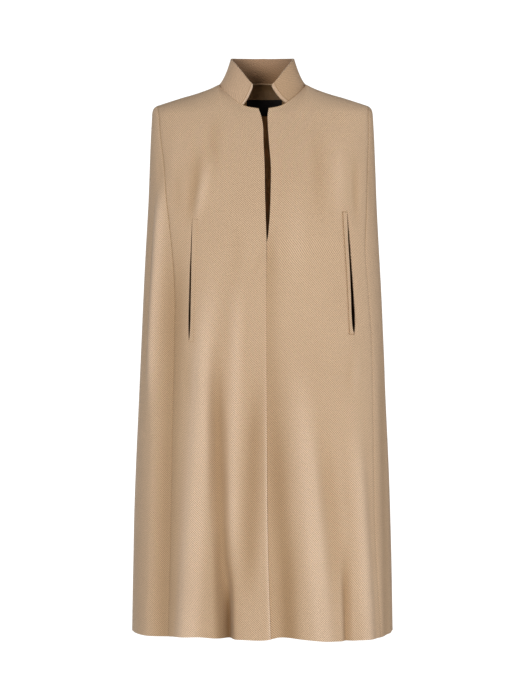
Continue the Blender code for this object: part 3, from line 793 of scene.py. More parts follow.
def join_seam(first, second):
    """Brings the edges of two neighbours to one line, but not among the tip's close columns."""
    middle = (first[:, -1] + second[:, 0]) / 2
    across = unit(second[:, 1] - first[:, -2])
    room = np.minimum(
        np.linalg.norm(second[:, 1] - second[:, 0], axis=-1),
        np.linalg.norm(first[:, -1] - first[:, -2], axis=-1),
    )
    share = ease(room, *JOIN_ROOM)[:, None]
    first[:, -1] += share * (middle - across * SEAM_GAP / 2 - first[:, -1])
    second[:, 0] += share * (middle + across * SEAM_GAP / 2 - second[:, 0])


SEAM_DIP = 0.0007
SEAM_DIP_FADES = (0.0, 0.03)
SEAM_DIP_WIDTH = 0.0030
SEAM_LINE = 0.0009
PUCKER = 0.00035
PUCKER_LENGTH = 0.011
PUCKER_DRIFT = 3
PUCKER_DRIFT_RATE = 61
PUCKER_SPREAD = 3.2
PUCKER_HELD = 0.55
# How much fainter a seam's line of painted shade grows, and between which drops below the neck.
SEAM_FADED = 0.45
SEAM_FADES = (0.42, 0.62)
LEFT_SEAM_FADED = 0.80
LEFT_SEAM_FADES = (0.27, 0.33)
STITCH_PITCH = 0.0040
STITCH_FAINT = 0.22


def seam_marks(points, seams, seed):
    """How a panel sinks towards its seams, with slight puckers, and its line of painted shade."""
    along, down = run(points, 1), run(points, 0)
    away = {"low": along, "high": along[:, -1:] - along, "top": down}
    depth = np.zeros(points.shape[:2])
    line = np.zeros(points.shape[:2])
    for name in seams:
        length = along if name == "top" else down
        drift = PUCKER_DRIFT * np.sin(length * PUCKER_DRIFT_RATE + seed)
        wave = np.sin(length * math.tau / PUCKER_LENGTH + drift)
        near = line_at(away[name], SEAM_DIP_WIDTH)
        wide = line_at(away[name], PUCKER_SPREAD * SEAM_DIP_WIDTH)
        dip = SEAM_DIP * near + PUCKER * wave * (wide - PUCKER_HELD * near)
        depth -= dip * ease(down, *SEAM_DIP_FADES)
        # The line is painted shade of the seam's groove, broken like stitches.
        stitched = 1 - STITCH_FAINT * (1 - np.sin(length * math.tau / STITCH_PITCH))
        faded = SEAM_FADED * ease(-points[..., 2], *SEAM_FADES)
        left_faded = LEFT_SEAM_FADED * ease(-points[..., 2], *LEFT_SEAM_FADES) * (points[..., 0] > 0)
        stitched *= 1 - np.maximum(faded, left_faded)
        line = np.maximum(line, line_at(away[name], SEAM_LINE) * stitched)
    return depth, line


def slack_depth(points, seed):
    """Slow unevenness of the cloth."""
    values = []
    for x, y, z in points.reshape(-1, 3) * np.array(SLACK_SCALES):
        fine = noise.noise(Vector((FINER * x, FINER * y, FINER * z + seed)))
        values.append(noise.noise(Vector((x, y, z + seed))) + FINE_SLACK * fine)
    values = np.array(values).reshape(points.shape[:2])
    return SLACK * values * ease(-points[..., 2], *SLACK_GROWS)


def grain(points, grain_column, yoke_row=None):
    """A panel's own UV map in metres: across the grain from one column, and down from a row."""
    columns = points.shape[1]
    across = run(points, 1)
    across -= across[:, grain_column:grain_column + 1]
    drop = np.linalg.norm(np.diff(points, axis=0), axis=-1)
    if yoke_row is None:
        drop = np.repeat(drop.mean(axis=1, keepdims=True), columns, axis=1)
        yoke_row = 0
    else:
        across[:yoke_row] = across[yoke_row]
        drop[yoke_row:] = drop[yoke_row:].mean(axis=1, keepdims=True)
    down = np.concatenate([np.zeros((1, columns)), np.cumsum(drop, axis=0)])
    down -= down[yoke_row]
    return np.stack([across, -down], axis=-1)


EDGE_ANGLE = 55
EDGE_SEGMENTS = 3


def make_cloth(
    name, points, wall, uv, materials, inner=None, hole=None, bevel=0.0008, shade=None,
    inner_shade=None,
):
    """A sheet bent to its points, with its thickness on the inner side and rounded edges.

    inner gives the material index of the inner face in each cell. hole is the first and last
    row and the column of the cells to leave out. shade is the painted shade of the outer face at
    each point, from -1 for a painted highlight to 1, and inner_shade the same for the inner face.
    """
    rows, columns = points.shape[:2]
    index = np.arange(rows * columns).reshape(rows, columns)
    cells = np.stack([index[:-1, :-1], index[1:, :-1], index[1:, 1:], index[:-1, 1:]], axis=-1)
    keep = np.ones((rows - 1, columns - 1), bool)
    if hole:
        keep[hole[0]:hole[1], hole[2]] = False
    back_index = (np.zeros_like(keep, int) if inner is None else inner)[keep]
    front_faces = cells[keep]
    inside = points - outward(points) * wall
    count = rows * columns
    vertices = np.concatenate([points.reshape(-1, 3), inside.reshape(-1, 3)])
    back_faces = front_faces[:, ::-1] + count
    ends = np.concatenate([front_faces[:, [n, (n + 1) % 4]] for n in range(4)])
    known = {(a, b) for a, b in ends}
    rim = np.array([(b, a, a + count, b + count) for a, b in ends if (b, a) not in known])
    faces = np.concatenate([front_faces, back_faces, rim])
    flat_uv = np.concatenate([uv.reshape(-1, 2)] * 2)
    kinds = np.concatenate([
        np.zeros(len(front_faces), int), back_index, np.zeros(len(rim), int)
    ])
    used = np.unique(faces)
    renumber = np.full(len(vertices), -1)
    renumber[used] = np.arange(len(used))
    mesh = bpy.data.meshes.new(name)
    mesh.from_pydata(vertices[used].tolist(), [], renumber[faces].tolist())
    layer = mesh.uv_layers.new(name="grain")
    corner = np.empty(len(mesh.loops), np.int32)
    mesh.loops.foreach_get("vertex_index", corner)
    layer.data.foreach_set("uv", flat_uv[used][corner].astype(np.float32).ravel())
    if shade is not None:
        inner_tone = np.zeros(count) if inner_shade is None else inner_shade.ravel()
        both_faces = np.concatenate([shade.ravel(), inner_tone])[used]
        tones = mesh.attributes.new("shade", "FLOAT", "POINT")
        tones.data.foreach_set("value", both_faces.astype(np.float32))
    mesh.polygons.foreach_set("material_index", kinds.astype(np.int32))
    mesh.shade_smooth()
    for material in materials:
        mesh.materials.append(material)
    piece = placed(name, mesh)
    edges = piece.modifiers.new("Rounded edges", "BEVEL")
    edges.limit_method = "ANGLE"
    edges.angle_limit = math.radians(EDGE_ANGLE)
    edges.width = bevel
    edges.segments = EDGE_SEGMENTS
    edges.use_clamp_overlap = True
    return applied(piece)


def applied(piece):
    """The piece as one plain mesh, with its modifiers used up."""
    graph = bpy.context.evaluated_depsgraph_get()
    mesh = bpy.data.meshes.new_from_object(piece.evaluated_get(graph), depsgraph=graph)
    piece.modifiers.clear()
    old = piece.data
    piece.data = mesh
    bpy.data.meshes.remove(old)
    mesh.name = piece.name
    return piece


def placed(name, data):
    """A new object in the scene, for a mesh, a lamp or a camera."""
    holder = bpy.data.objects.new(name, data)
    bpy.context.scene.collection.objects.link(holder)
    return holder


NOISE_RANGE = (0.3, 0.7)


class Nodes:
    """Short words for building a material's nodes."""

    def __init__(self, name):
        self.material = bpy.data.materials.new(name)
        self.material.use_nodes = True
        self.tree = self.material.node_tree
        self.shader = self.tree.nodes["Principled BSDF"]

    def link(self, value, socket):
        if isinstance(value, bpy.types.NodeSocket):
            self.tree.links.new(value, socket)
        else:
            socket.default_value = value

    def add(self, kind, inputs=(), output=0, **settings):
        node = self.tree.nodes.new(kind)
        for key, value in settings.items():
            setattr(node, key, value)
        for key, value in dict(inputs).items():
            self.link(value, node.inputs[key])
        return node.outputs[output]

    def math(self, operation, a, b=0.0, c=0.0):
        return self.add("ShaderNodeMath", {0: a, 1: b, 2: c}, operation=operation)

    def mix(self, factor, a, b, blend="MIX"):
        return self.add(
            "ShaderNodeMix", {0: factor, 6: a, 7: b}, output=2, data_type="RGBA", blend_type=blend
        )

    def noise(self, vector, scale, detail=2.0, roughness=0.5):
        return self.add(
            "ShaderNodeTexNoise",
            {"Vector": vector, "Scale": scale, "Detail": detail, "Roughness": roughness},
        )

    def remap(self, value, low, high, new_low, new_high):
        return self.add("ShaderNodeMapRange", {0: value, 1: low, 2: high, 3: new_low, 4: new_high})

    def grain(self):
        """Across and down the grain, in metres."""
        uv = self.add("ShaderNodeUVMap", uv_map="grain")
        across, down, _ = self.apart(uv)
        return uv, across, down

    def three(self, red, green, blue):
        return self.add("ShaderNodeCombineXYZ", {0: red, 1: green, 2: blue})

    def apart(self, vector):
        split = self.tree.nodes.new("ShaderNodeSeparateXYZ")
        self.tree.links.new(vector, split.inputs[0])
        return split.outputs

    def wave(self, value, pitch):
        return self.math("SINE", self.math("MULTIPLY", value, math.tau / pitch))

    def spread(self, value, low=0.0, high=1.0):
        """The usual range of a noise, spread out from low to high."""
        return self.remap(value, *NOISE_RANGE, low, high)

    def relief(self, height, distance, strength=1.0):
        raised = self.add(
            "ShaderNodeBump", {"Strength": strength, "Distance": distance, "Height": height}
        )
        self.link(raised, self.shader.inputs["Normal"])

    def finished(self, values):
        """The material, once its shader has these values or sockets."""
        for name, value in values.items():
            self.link(value, self.shader.inputs[name])
        return self.material


TWILL_PITCH = 0.0029
YARN_PITCH = 0.0033
YARN_SHARE = 0.20
WANDER_SCALE = 30.0
WANDER = 0.0022
NAP_SCALE = 560.0
NAP_HEIGHT = 0.00030
NAP_CONTRAST = 1.35
FLUFF_SCALE = 130.0
PATCH_SCALE = 5.0
# How dark the painted shade makes the cloth where a piece's shade is 1; below 0 it is a painted
# highlight.
SHADE_DEPTH = 0.55
# Painted shade turns the cloth browner: red, green and blue fall by these powers.
SHADE_POWERS = (0.9, 1.15, 1.6)


def make_wool(name, light, dark, turn=45, pitch=TWILL_PITCH, contrast=0.32):
    """Brushed camel twill: diagonal ribs broken by the cross yarns, with a soft nap.

    turn is the way across the ribs, in degrees from the way across the cloth. contrast is how
    much lighter and darker the ribs are than the cloth.
    """
    wool = Nodes(name)
    uv, across, down = wool.grain()
    drift = wool.math("SUBTRACT", wool.noise(uv, WANDER_SCALE, 1.0), 0.5)
    wander = wool.math("MULTIPLY", drift, WANDER)
    along_x = math.cos(math.radians(turn))
    along_y = math.sin(math.radians(turn))
    ribs = wool.math("MULTIPLY_ADD", down, along_y, wool.math("MULTIPLY", across, along_x))
    rib = wool.wave(wool.math("ADD", ribs, wander), pitch)
    yarns = wool.math("MULTIPLY_ADD", down, -along_x, wool.math("MULTIPLY", across, along_y))
    yarn = wool.wave(wool.math("ADD", yarns, wander), YARN_PITCH)
    nap = wool.noise(uv, NAP_SCALE, 5.0, 0.72)
    fluff = wool.noise(uv, FLUFF_SCALE, 3.0, 0.6)
    weave = wool.math("MULTIPLY_ADD", yarn, YARN_SHARE, rib)
    height = wool.math("ADD", weave, wool.math("MULTIPLY_ADD", nap, 1.4, fluff))
    wool.relief(height, NAP_HEIGHT, 0.9)
    place = wool.add("ShaderNodeTexCoord", output=3)
    patches = wool.spread(wool.noise(place, PATCH_SCALE, 3.0))
    broad = wool.mix(patches, dark, light)
    speck = wool.math("MULTIPLY", wool.math("SUBTRACT", nap, 0.5), NAP_CONTRAST)
    tone = wool.math("ADD", wool.math("MULTIPLY_ADD", weave, contrast, 1.0), speck)
    # Painted shade and painted highlights, from each piece's shade attribute.
    shade = wool.add("ShaderNodeAttribute", output=2, attribute_name="shade")
    left = wool.math("MULTIPLY_ADD", shade, -SHADE_DEPTH, 1.0)
    tones = [wool.math("MULTIPLY", tone, wool.math("POWER", left, n)) for n in SHADE_POWERS]
    return wool.finished({
        "Base Color": wool.mix(1.0, broad, wool.three(*tones), "MULTIPLY"),
        "Roughness": wool.spread(nap, 0.82, 0.96),
        "Specular IOR Level": 0.22,
        "Sheen Weight": 0.20,
        "Sheen Roughness": 0.5,
        "Sheen Tint": (1.0, 0.88, 0.74, 1.0),
    })


LINING_THREAD = 0.0006
LINING_BROWNS = (0.200, 0.110, 0.040, 1), (0.270, 0.148, 0.056, 1)
# Painted light and shade on the lining, each from one place to another and from one value to
# another: lighter down the chest by height, darker deep inside by height, and beside the neck by
# height and from right to left.
PAINTED_CHEST_LIGHT = (-0.015, -0.070, 1.0, 4.0)
DEEP_SHADE = (-0.22, -0.32, 1.0, 0.22)
NEAR_NECK = (-0.20, -0.10, 0.0, 1.0)
NECK_TURN = (-0.03, 0.03, 0.5, -0.4)


def make_lining(name):
    """Dark brown lining: a fine smooth weave with a low lustre, with painted light and shade by
    place.
    """
    cloth = Nodes(name)
    uv, across, down = cloth.grain()
    threads = [cloth.wave(way, LINING_THREAD) for way in (across, down)]
    fine = cloth.math("MULTIPLY", *threads)
    slub = cloth.noise(uv, 60.0, 3.0)
    cloth.relief(cloth.math("MULTIPLY_ADD", fine, 0.3, slub), 0.0004, 0.5)
    colour = cloth.mix(cloth.spread(slub), *LINING_BROWNS)
    out, _, height = cloth.apart(cloth.add("ShaderNodeTexCoord", output=3))
    # Painted light lower down the chest, painted shade deep inside and on one side of the neck.
    lift = cloth.remap(height, *PAINTED_CHEST_LIGHT)
    lift = cloth.math("MULTIPLY", lift, cloth.remap(height, *DEEP_SHADE))
    turned = cloth.math("MULTIPLY", cloth.remap(height, *NEAR_NECK), cloth.remap(out, *NECK_TURN))
    lift = cloth.math("MULTIPLY", lift, cloth.math("ADD", turned, 1.0))
    return cloth.finished({
        "Base Color": cloth.mix(1.0, colour, cloth.three(lift, lift, lift), "MULTIPLY"),
        "Roughness": cloth.spread(slub, 0.42, 0.56),
        "Specular IOR Level": 0.35,
        "Sheen Weight": 0.08,
    })


TAPE_BLACKS = (0.0100, 0.0080, 0.0080, 1), (0.0200, 0.0160, 0.0160, 1)
TAPE_RIB = 0.0009
TAPE_THREAD = 0.0005
TAPE_SPECK_SCALE = 700.0


def make_tape(name):
    """A plain woven black tape, bare."""
    tape = Nodes(name)
    uv, across, down = tape.grain()
    ribs = tape.wave(across, TAPE_RIB)
    threads = tape.wave(down, TAPE_THREAD)
    speck = tape.noise(uv, TAPE_SPECK_SCALE, 2.0)
    weave = tape.math("MULTIPLY_ADD", threads, 0.5, tape.math("MULTIPLY", ribs, 0.5))
    tape.relief(tape.math("ADD", weave, speck), 0.0003, 0.6)
    return tape.finished({
        "Base Color": tape.mix(tape.spread(speck), *TAPE_BLACKS),
        "Roughness": tape.spread(speck, 0.75, 0.90),
        "Specular IOR Level": 0.15,
    })


PLY_SCALE = 700.0


def make_thread(name, light, dark):
    """Sewing thread, two plies twisted."""
    thread = Nodes(name)
    place = thread.add("ShaderNodeTexCoord", output=3)
    ply = thread.add(
        "ShaderNodeTexWave", {"Vector": place, "Scale": PLY_SCALE, "Distortion": 2.0}, 1
    )
    thread.relief(ply, 0.0001, 0.6)
    return thread.finished({"Base Color": thread.mix(ply, dark, light), "Roughness": 0.6})


COLLAR_EDGE_STEP = 0.0008
COLLAR_EDGE_REACH = 0.0096
COLLAR_BANDS = {"right": 0.0042, "left": 0.0066}
BAND_EASE = 0.0010
BAND_RISE = 0.0006
BAND_STARTS = (0.0, 0.006)
# Painted highlight on the band, painted shade in the groove, along the seam and over the wearer's
# left half.
BAND_HIGHLIGHT = 0.35
GROOVE_OFFSET = 0.0005
GROOVE_WIDTH = 0.0008
GROOVE_DEPTH = 0.0005
GROOVE_DARK = 0.45
COLLAR_SEAM_DARK = 0.55
COLLAR_LEFT_DARK = 0.30
COLLAR_LEFT_STARTS = (0.0, 0.02)
# Painted shade on the collar's inner face, lighter at its top edge and darker down its inside.
INNER_COLLAR_DEPTH = 0.050
INNER_COLLAR_SHADE = 0.45
COLLAR_COLUMNS = 100
COLLAR_RISES = (
    0.0, 0.012, 0.03, *np.linspace(0.06, 0.90, 15), 0.925, 0.95, 0.97, 0.985, 1.0,
)


def collar_base(front_right, back, front_left):
    """The neckline that the collar stands on, with close columns at both of its ends."""
    base = np.concatenate([front_left[:-1], back, front_right[1:]])
    reach = run(base, 0)
    edge = np.arange(0, COLLAR_EDGE_REACH, COLLAR_EDGE_STEP)
    middle = np.linspace(COLLAR_EDGE_REACH, reach[-1] - COLLAR_EDGE_REACH, COLLAR_COLUMNS)
    return resampled(base, reach, np.concatenate([edge, middle, reach[-1] - edge[::-1]]))


def collar_edges(points):
    """The turned front edges: a raised band, a fine groove beside it, and painted light and shade.
    """
    along, down = run(points, 1), run(points, 0)
    away = {"left": along, "right": along[:, -1:] - along}
    depth = np.zeros(points.shape[:2])
    shade = np.zeros(points.shape[:2])
    for side, width in COLLAR_BANDS.items():
        band = 1 - ease(away[side], width - BAND_EASE, width)
        groove = line_at(away[side] - width - GROOVE_OFFSET, GROOVE_WIDTH)
        depth += (BAND_RISE * band - GROOVE_DEPTH * groove) * ease(down, *BAND_STARTS)
        shade += GROOVE_DARK * groove - BAND_HIGHLIGHT * band
    seam = line_at(down[-1:] - down, SEAM_LINE)
    # Painted shade along the base seam and over the wearer's left half of the collar.
    left = ease(points[..., 0], *COLLAR_LEFT_STARTS)
    return depth, shade + (COLLAR_SEAM_DARK * seam + COLLAR_LEFT_DARK) * left


def collar_points(base):
    """The collar's outer face, risen from the neckline of the three body pieces."""
    lean = np.degrees(np.arctan2(np.abs(base[:, 0]) / NECK_HALF_WIDTH, -base[:, 1] / NECK_FRONT))
    ends = {1: (COLLAR_TIPS["left"], lean[0]), -1: (COLLAR_TIPS["right"], lean[-1])}
    rows = []
    for rise in COLLAR_RISES:
        over = max(0.0, (rise - (1 - COLLAR_CORNER)) / COLLAR_CORNER)
        rounding = CORNER_ROUNDING * COLLAR_CORNER * (1 - math.sqrt(1 - over ** 2))
        row = []
        for point, angle in zip(base, lean):
            side = 1 if point[0] >= 0 else -1
            tip, first = ends[side]
            tip += CORNER_DRAWN_IN * rounding
            tip_angle = math.degrees(math.asin(tip / COLLAR_TOP_HALF_WIDTH))
            top_angle = angle + (tip_angle - first) * (1 - float(ease(angle, first, 90)))
            row.append(collar_point(point, side, math.radians(top_angle), rise))
        rows.append(row)
    return np.array(rows[::-1])


def collar_point(base, side, angle, rise):
    depth = COLLAR_TOP_FRONT if math.cos(angle) > 0 else COLLAR_TOP_BACK
    top = np.array((
        side * COLLAR_TOP_HALF_WIDTH * abs(math.sin(angle)),
        -depth * math.cos(angle),
        number_at(COLLAR_TOP, COLLAR_TOP_COLUMNS, "height", math.degrees(angle)),
    ))
    start = base + np.array((0, 0, SEAM_GAP / 2))
    waist = 0.5 * (start + top)
    waist[2] = start[2] + COLLAR_WAIST * (top[2] - start[2])
    return start * (1 - rise) ** 2 + waist * 2 * rise * (1 - rise) + top * rise ** 2


# Painted shade along the seams and in the folds, a painted highlight along the lap's edge and a
# painted shadow beside it.
SEAM_DARK = 0.80
TROUGH_SHADE = 0.55
EDGE_LIGHT = 0.50
EDGE_LIGHT_WIDTH = 0.0030
EDGE_LIGHT_STARTS = (0.35, 0.75)
LAP_SHADOW = 0.24
LAP_SHADOW_WIDTH = 0.022
LAP_SHADOW_STARTS = (0.26, 0.34)
FACING_WIDTH = 0.072
HEM_TURN_UP = 0.042
# The lining's top stays this many columns off each shoulder tip.
TIP_COLUMNS = 3
LABEL_TOP = -0.0180
LABEL_HEIGHT = 0.0310
LABEL_ROWS = 14
LABEL_COLUMNS = 24
LABEL_SHIFT = 0.0025


def inner_cloth(points, facing_side=None):
    """Material index of each inner cell: wool on the facing and the hem turn-up, else lining."""
    along = run(points, 1)
    lined = points[:-1, :-1, 2] > HEM_HEIGHT + HEM_TURN_UP
    if facing_side == "low":
        lined &= along[:-1, :-1] > FACING_WIDTH
    if facing_side == "high":
        lined &= (along[:, -1:] - along)[:-1, 1:] > FACING_WIDTH
    return lined.astype(int)


def lap_shade(name, points):
    """A painted highlight along the lap's edge, and a painted shadow on the left front beside it.
    """
    away = points[..., 0] - read(FRONT_EDGES, EDGE_COLUMNS, "right_x", points[..., 2])
    drop = -points[..., 2]
    if name == "front_right":
        return -EDGE_LIGHT * line_at(away, EDGE_LIGHT_WIDTH) * ease(drop, *EDGE_LIGHT_STARTS)
    if name == "front_left":
        return LAP_SHADOW * line_at(away, LAP_SHADOW_WIDTH) * ease(drop, *LAP_SHADOW_STARTS)
    return np.zeros(points.shape[:2])


def finish_piece(piece, nodes):
    """The piece rides the one body and stands for its solids."""
    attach(piece, "root")
    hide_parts(*nodes)


# Each wool's lighter and darker colour, and how the twill runs where it isn't as on the fronts.
CAMEL = (0.625, 0.438, 0.284, 1), (0.590, 0.407, 0.260, 1)
CAMEL_COLLAR = (0.600, 0.415, 0.272, 1), (0.560, 0.384, 0.250, 1)
# The collar's inside wool is a darker copy of the camel wool, for painted shade.
CAMEL_SHADED_INSIDE = (0.400, 0.235, 0.130, 1), (0.350, 0.205, 0.112, 1)
SIDE_TURN = -48
FAINT_TWILL = {"turn": 64, "pitch": 0.0033, "contrast": 0.09}

wool = make_wool("camel wool", *CAMEL)
side_wool = make_wool("camel wool side", *CAMEL, turn=SIDE_TURN)
collar_wool = make_wool("camel wool collar", *CAMEL_COLLAR, **FAINT_TWILL)
shaded_inside_wool = make_wool("camel wool inside in painted shade", *CAMEL_SHADED_INSIDE, **FAINT_TWILL)
lining = make_lining("brown lining")
tape = make_tape("black tape")

fronts, sides, painted_fold_shade = {}, {}, {}
for side in ("right", "left"):
    fronts[side], painted_fold_shade[f"front_{side}"] = front_points(side)
    sides[side], painted_fold_shade[f"side_{side}"] = side_points(side)
back, painted_fold_shade["back"] = back_points()
ring = (fronts["left"], sides["left"], back, sides["right"], fronts["right"])
for first, second in zip(ring, ring[1:]):
    join_seam(first, second)

panels = {
    "front_left": (fronts["left"], ("high", "top"), 0, "low", wool),
    "side_left": (sides["left"], ("low", "high"), sides["left"].shape[1] // 2, None, side_wool),
    "back": (back, ("low", "high", "top"), back.shape[1] // 2, None, wool),
    "side_right": (sides["right"], ("low", "high"), sides["right"].shape[1] // 2, None, side_wool),
    "front_right": (fronts["right"], ("low", "top"), fronts["right"].shape[1] - 1, "high", wool),
}
# Each panel's outer face, once shaped.
shaped = {}
for number, (name, (points, seams, grain_column, facing, cloth)) in enumerate(panels.items()):
    uv = grain(points, grain_column, CAP_ROWS)
    depth, line = seam_marks(points, seams, number)
    depth += slack_depth(points, SLACK_SEED)
    points = points + outward(points) * depth[..., None]
    # Painted shade along the seams and in the fold hollows, painted highlights on the ridges and
    # along the lap's edge, and a painted shadow beside the lap.
    shade = line * SEAM_DARK + painted_fold_shade[name] * TROUGH_SHADE * (1 - line)
    shade += lap_shade(name, points)
    shaped[name] = points
    hole = None
    if name.startswith("front"):
        slit = front_places(name.removeprefix("front_"))[2]["slit"]
        hole = (row_at(SLIT_TOP), row_at(SLIT_BOTTOM), slit)
    piece = make_cloth(
        name + "_cloth", points, WOOL_WALL, uv, (cloth, lining), inner_cloth(points, facing),
        hole, shade=shade,
    )
    finish_piece(piece, [name + "_panel"])

# How dark the painted shade along each welt's edges is, and how near to it the close columns lie.
WELT_SHADES = {"right": 0.10, "left": 0.85}
WELT_EDGE = 0.05


def welt_points(side):
    """A welt's outer face on its front, with close rows and columns at its edges."""
    points = shaped[f"front_{side}"]
    found = front_places(side)[2]
    start, stop = sorted((found["welt"], found["slit"] + (1 if side == "right" else 0)))
    points = moved_out(points, SEAM_GAP + WELT_WALLS[side])
    points = points[row_at(SLIT_TOP):row_at(SLIT_BOTTOM) + 1, start:stop + 1]
    last_row, last_column = points.shape[0] - 1, points.shape[1] - 1
    rows = [0, 3 * WELT_EDGE, 7 * WELT_EDGE, *range(1, last_row)]
    rows += [last_row - 7 * WELT_EDGE, last_row - 3 * WELT_EDGE, last_row]
    shares = [0, WELT_EDGE, 2.4 * WELT_EDGE, 0.3, 0.5, 0.7, 1 - 2.4 * WELT_EDGE, 1 - WELT_EDGE, 1]
    return between(points, np.array(rows), np.array(shares) * last_column)


def between(points, rows, columns):
    """A grid read at rows and columns with decimals."""
    low = np.minimum(rows.astype(int), points.shape[0] - 2)
    part = (rows - low)[:, None, None]
    points = points[low] * (1 - part) + points[low + 1] * part
    low = np.minimum(columns.astype(int), points.shape[1] - 2)
    part = (columns - low)[None, :, None]
    return points[:, low] * (1 - part) + points[:, low + 1] * part


for side in ("right", "left"):
    lifted = welt_points(side)
    uv = grain(lifted, 0)
    # Painted shade along the welt's top, bottom and one long edge.
    edge = np.zeros(lifted.shape[:2])
    edge[:2], edge[-2:], edge[:, -2:] = 1, 1, 1
    if side == "left":
        edge = edge[:, ::-1]
    piece = make_cloth(
        f"welt_{side}_cloth", lifted, WELT_WALLS[side], uv, (wool,), bevel=WELT_WALLS[side] / 3,
        shade=edge * WELT_SHADES[side],
    )
    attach(piece, "root")
    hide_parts(f"welt_{side}")

right_found, left_found = front_places("right")[2], front_places("left")[2]
shares, places = back_places()
outer = len(BACK_OUTER_X) + 3
back_start = int(np.argmin(np.abs(places - outer)))
back_stop = int(np.argmin(np.abs(places - (len(shares) + 3 - outer))))
neck_back = back[0, back_start:back_stop + 1]
neckline = collar_base(
    fronts["right"][0, right_found["shoulder"]:right_found["collar end"] + 1],
    neck_back,
    fronts["left"][0, left_found["collar end"]:left_found["shoulder"] + 1],
)
collar = collar_points(neckline)
uv = grain(collar, collar.shape[1] // 2)
depth, shade = collar_edges(collar)
collar = collar + outward(collar) * depth[..., None]
# The collar's inner face wears the darker wool, painted lighter at its top and darker down its
# inside.
piece = make_cloth(
    "collar_cloth", collar, COLLAR_WALL, uv, (collar_wool, shaded_inside_wool),
    np.ones((collar.shape[0] - 1, collar.shape[1] - 1), int), bevel=0.0009, shade=shade,
    inner_shade=INNER_COLLAR_SHADE * (2 * ease(run(collar, 0), 0.0, INNER_COLLAR_DEPTH) - 1),
)
finish_piece(piece, ["collar"])

lined = moved_out(shaped["back"], -(WOOL_WALL + LINING_GAP))
strip = len(STRIP_SHARES) - 1
clear = strip + TIP_COLUMNS
lined = lined[strip:row_at(LINING_BOTTOM) + 1, clear:-clear]
uv = grain(lined, lined.shape[1] // 2)
piece = make_cloth("back_lining_cloth", lined, LINING_WALL, uv, (lining,), bevel=0.0003)
finish_piece(piece, ["back_lining"])

taped = moved_out(shaped["back"], -(WOOL_WALL + LINING_GAP + LINING_WALL + SEAM_GAP))
across = np.linspace(LABEL_HALF_WIDTH, -LABEL_HALF_WIDTH, LABEL_COLUMNS) + LABEL_SHIFT
across = np.interp(-across, -back[CAP_ROWS, :, 0], np.arange(back.shape[1]))
taped = between(taped, np.arange(len(taped)), across)
levels = np.linspace(LABEL_TOP, LABEL_TOP - LABEL_HEIGHT, LABEL_ROWS)
columns = np.swapaxes(taped, 0, 1)
taped = np.stack([resampled(column, -column[:, 2], -levels) for column in columns], axis=1)
uv = grain(taped, 0)
piece = make_cloth("neck_label_tape", taped, LABEL_WALL, uv, (tape,), bevel=0.0002)
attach(piece, "root")
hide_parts("neck_label")

PIPING_RADIUS = 0.0013
PIPING_OFF = 0.6
STITCH_LENGTH = 0.0024
THREAD_RADIUS = 0.00032
END_STITCH_ROWS = (0.6, 1.4)


def stitch_nodes():
    """Stitches along a line: a named pitch, one long bead of thread at each step."""
    group = bpy.data.node_groups.new("Stitches", "GeometryNodeTree")
    sockets = (
        ("Geometry", "INPUT", "NodeSocketGeometry"), ("Pitch", "INPUT", "NodeSocketFloat"),
        ("Size", "INPUT", "NodeSocketVector"), ("Thread", "INPUT", "NodeSocketMaterial"),
        ("Geometry", "OUTPUT", "NodeSocketGeometry"),
    )
    for name, way, kind in sockets:
        group.interface.new_socket(name=name, in_out=way, socket_type=kind)
    nodes = group.nodes
    given, result = nodes.new("NodeGroupInput"), nodes.new("NodeGroupOutput")
    curve = nodes.new("GeometryNodeMeshToCurve")
    steps = nodes.new("GeometryNodeResampleCurve")
    steps.mode = "LENGTH"
    bead = nodes.new("GeometryNodeMeshIcoSphere")
    bead.inputs["Radius"].default_value = 0.5
    bead.inputs["Subdivisions"].default_value = 2
    tangent = nodes.new("GeometryNodeInputTangent")
    turn = nodes.new("FunctionNodeAlignRotationToVector")
    turn.axis = "X"
    spread = nodes.new("GeometryNodeInstanceOnPoints")
    real = nodes.new("GeometryNodeRealizeInstances")
    paint = nodes.new("GeometryNodeSetMaterial")
    wires = (
        (given, "Geometry", curve, "Mesh"), (curve, "Curve", steps, "Curve"),
        (given, "Pitch", steps, "Length"), (steps, "Curve", spread, "Points"),
        (bead, "Mesh", spread, "Instance"), (tangent, "Tangent", turn, "Vector"),
        (turn, "Rotation", spread, "Rotation"), (given, "Size", spread, "Scale"),
        (spread, "Instances", real, "Geometry"), (real, "Geometry", paint, "Geometry"),
        (given, "Thread", paint, "Material"), (paint, "Geometry", result, "Geometry"),
    )
    for giver, output, taker, taken in wires:
        group.links.new(giver.outputs[output], taker.inputs[taken])
    return group


def sew(name, lines, nodes, thread):
    """One object with stitches along each of the lines."""
    points = np.concatenate(lines)
    starts = np.cumsum([0] + [len(line) for line in lines])
    edges = [(n, n + 1) for n in range(len(points) - 1) if n + 1 not in starts]
    mesh = bpy.data.meshes.new(name)
    mesh.from_pydata(points.tolist(), edges, [])
    seam = placed(name, mesh)
    sewn = seam.modifiers.new("Stitches", "NODES")
    sewn.node_group = nodes
    values = {
        "Pitch": STITCH_PITCH,
        "Size": (STITCH_LENGTH, 2 * THREAD_RADIUS, 2 * THREAD_RADIUS),
        "Thread": thread,
    }
    for item in nodes.interface.items_tree:
        if item.name in values:
            sewn[item.identifier] = values[item.name]
    applied(seam).data.shade_smooth()
    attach(seam, "root")


